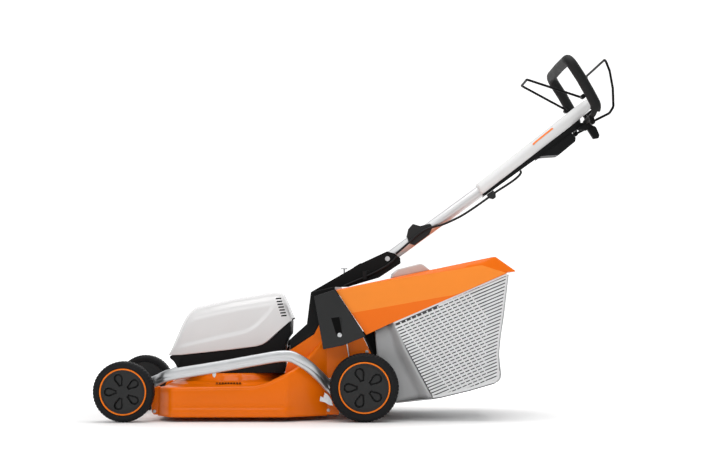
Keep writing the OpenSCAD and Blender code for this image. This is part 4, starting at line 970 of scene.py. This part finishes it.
def shell_section(s):
    low, high, half = read_off(shell_low, s), soft_read(shell_high, s, 2), soft_read(shell_half, s, 2)
    tall = high - low
    profile = [(1.0, 0.0), (1.0, 0.3), (0.995, 0.5), (0.95, 0.62), (0.8, 0.78), (0.62, 0.93),
               (0.54, 0.975), (0.44, 1.0), (0.2, 1.0), (0, 1.0)]
    near = [on_column(s, -half * a, low + tall * r) for a, r in profile]
    return near + [on_column(s, half * a, low + tall * r) for a, r in reversed(profile[:-1])]


shell = skinned("column_shell", [shell_section(s) for s in shell_stations], "handle", shell_grey,
                loop=False, ends=True, crisp=22)
thicken(shell, 2.4, -1)
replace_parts(shell, "handle_cover")

stripe_points = []
for s, share in ((572, 0.0), (584, 0.5), (600, 0.7), (620, 0.85), (640, 1.0), (652, 1.0)):
    low, high = read_off(shell_low, s), read_off(shell_high, s)
    for a, r in ((0.96 - 0.05 * share, 0.62 + 0.06 * share), (0.84 - 0.05 * share, 0.76 + 0.06 * share)):
        stripe_points.append(on_column(s, -31 * a - 0.7, low + (high - low) * r + 0.3))
stripe_faces = [(2 * i, 2 * i + 1, 2 * i + 3, 2 * i + 2) for i in range(5)]
stripe = add_piece("column_stripe", stripe_points, stripe_faces, "handle", signal_orange)
box_seat = [on_column(s, side * 24, t) for s, t in ((558, -25), (558, -16), (690, -16), (690, -25))
            for side in (-1, 1)]
seat_faces = [(0, 2, 4, 6), (7, 5, 3, 1)] + [(2 * i, 2 * i + 1, (2 * i + 3) % 8, (2 * i + 2) % 8)
                                             for i in range(4)]
add_piece("switch_box_seat", box_seat, seat_faces, "handle", black_nylon)

# ---- Upper cable ----
# Rubber cable from the switch box down the column: it enters the box's underside, runs through
# the clip and the saddle, and lies along the arm's side at the fold.
cable_route = [(30, -51, -3), (48, -48, -2), (70, -38, 0), (92, -31, 2), (121, -29, 5), (150, -28.5, 3),
               (176, -28, -5), (198, -24, -14), (222, -22, -20), (260, -22, -27), (300, -22, -30),
               (340, -22, -31), (378, -22, -31), (400, -22, -31), (430, -22, -33), (460, -22, -34),
               (480, -22, -32.5), (491, -22, -29), (494, -22, -25), (494, -22, -21.4)]
round_seven = [(3.5 * math.cos(math.tau * k / 14), 3.5 * math.sin(math.tau * k / 14)) for k in range(14)]
cable = swept("column_cable", smooth_route([on_column(*p) for p in cable_route], 4), round_seven,
              "handle", cable_jacket)
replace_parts(cable, "cable_upper")

# ---- Grip ring ----
# Steel hoop in a soft black foam sleeve, with moulded bosses for the two bails' pivots.
grip_foam = finish("grip_foam", (0.0058, 0.0059, 0.006), 0.6, mottle=0.2, patch=30, grain=1600,
                   depth=0.00012, shine=0.24)


def rounded(points, radius, steps=6):
    """Route with an arc of the given radius at each inner point, in the points' own units."""
    out = [points[0]]
    for before, corner, after in zip(points, points[1:], points[2:]):
        a, b = (before - corner).normalized(), (after - corner).normalized()
        half = math.acos(max(-1, min(1, a.dot(b)))) / 2
        reach = min(radius / math.tan(half), 0.49 * (before - corner).length,
                    0.49 * (after - corner).length)
        start, end = corner + a * reach, corner + b * reach
        for step in range(steps + 1):
            t = step / steps
            out.append(start * (1 - t) ** 2 + corner * 2 * t * (1 - t) + end * t * t)
    return out + [points[-1]]


post = 176.5
ring_corners = [(784, 0, 166), (783, post, 164), (779, post, 92), (773, post, 40), (767, post, 0),
                (748, post - 10, -14), (742, 34, -20)]
half_ring = [on_column(*p) for p in ring_corners]
half_ring = rounded(half_ring, 0.034, 8)
mirror_y = lambda p: Vector((p.x, -p.y, p.z))
whole_ring = [mirror_y(p) for p in reversed(half_ring[1:])] + half_ring
foam_section = [(15.8 * math.cos(math.tau * k / 28), 15.8 * math.sin(math.tau * k / 28))
                for k in range(28)]
foot = len(half_ring) - 10
taper = [1.0 if k < foot else 0.52 for k in range(len(half_ring))]
ring = swept("grip_hoop", whole_ring, foam_section, "handle", grip_foam,
             sizes=list(reversed(taper[1:])) + taper)
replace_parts(ring, "grip_ring")


def boss(name, along, square, radius, near, far, side, coating):
    profile = [(0.1, near), (radius - 1.2, near), (radius, near + 1.2 * (1 if far > near else -1)),
               (radius, far - 1.2 * (1 if far > near else -1)), (radius - 1.2, far), (0.1, far)]
    centre = on_column(along, 0, square)
    piece = turned(name, centre, side, profile, "handle", coating, turns=32, loop_rings=False, ends=True)
    return piece


for hand, side in (("left", -1), ("right", 1)):
    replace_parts(boss(f"stop_boss_{hand}", 755, 47, 7, post - 31, post - 8, side, black_nylon),
                "grip_ring")
    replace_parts(boss(f"drive_boss_{hand}", 735, -31, 8, post - 34, post - 20, side, black_nylon),
                "grip_ring")
    arm = [(728.5, -31), (741.5, -31), (754, -10), (736, -10)]
    n = len(arm)
    arm_points = [on_column(s, side * a, t) for a in (post - 33, post - 21) for s, t in arm]
    arm_faces = [(0, 1, 2, 3), (7, 6, 5, 4)] + [(i, (i + 1) % n, n + (i + 1) % n, n + i)
                                                for i in range(n)]
    arm_piece = add_piece(f"drive_lug_{hand}", arm_points, arm_faces, "handle", black_nylon)
    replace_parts(arm_piece, "grip_ring")

# ---- Bails ----
# Black coated 6 mm spring wire, bent into hoops that turn in the ring's bosses: the stop bail
# folds up to the grip from the front, the drive bail from behind.
bail_coat = finish("bail_coat", (0.002, 0.002, 0.0022), 0.5, mottle=0.1, shine=0.08)
wire_section = [(3.6 * math.cos(math.tau * k / 14), 3.6 * math.sin(math.tau * k / 14)) for k in range(14)]
bails = {"stop_bail": [(669, 0, 192), (669, 62, 192), (755, post - 38, 47), (755, post - 16, 47)],
         "drive_bail": [(874, 0, 98), (874, post - 16, 98), (864, post - 14, 62), (840, post - 11, 14),
                        (809, post - 11, -31.5), (788, post - 11, -40), (735, post - 11, -31),
                        (735, post - 36, -31)], }
for node, corners in bails.items():
    half = rounded([on_column(*p) for p in corners], 0.016 if node == "drive_bail" else 0.009, 5)
    wire = swept(f"{node}_wire", [mirror_y(p) for p in reversed(half[1:])] + half, wire_section, node,
                 bail_coat)
    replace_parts(wire, node)
dress("speed_lever", black_nylon, 2.0)
dress("start_button", signal_orange, 0.8)
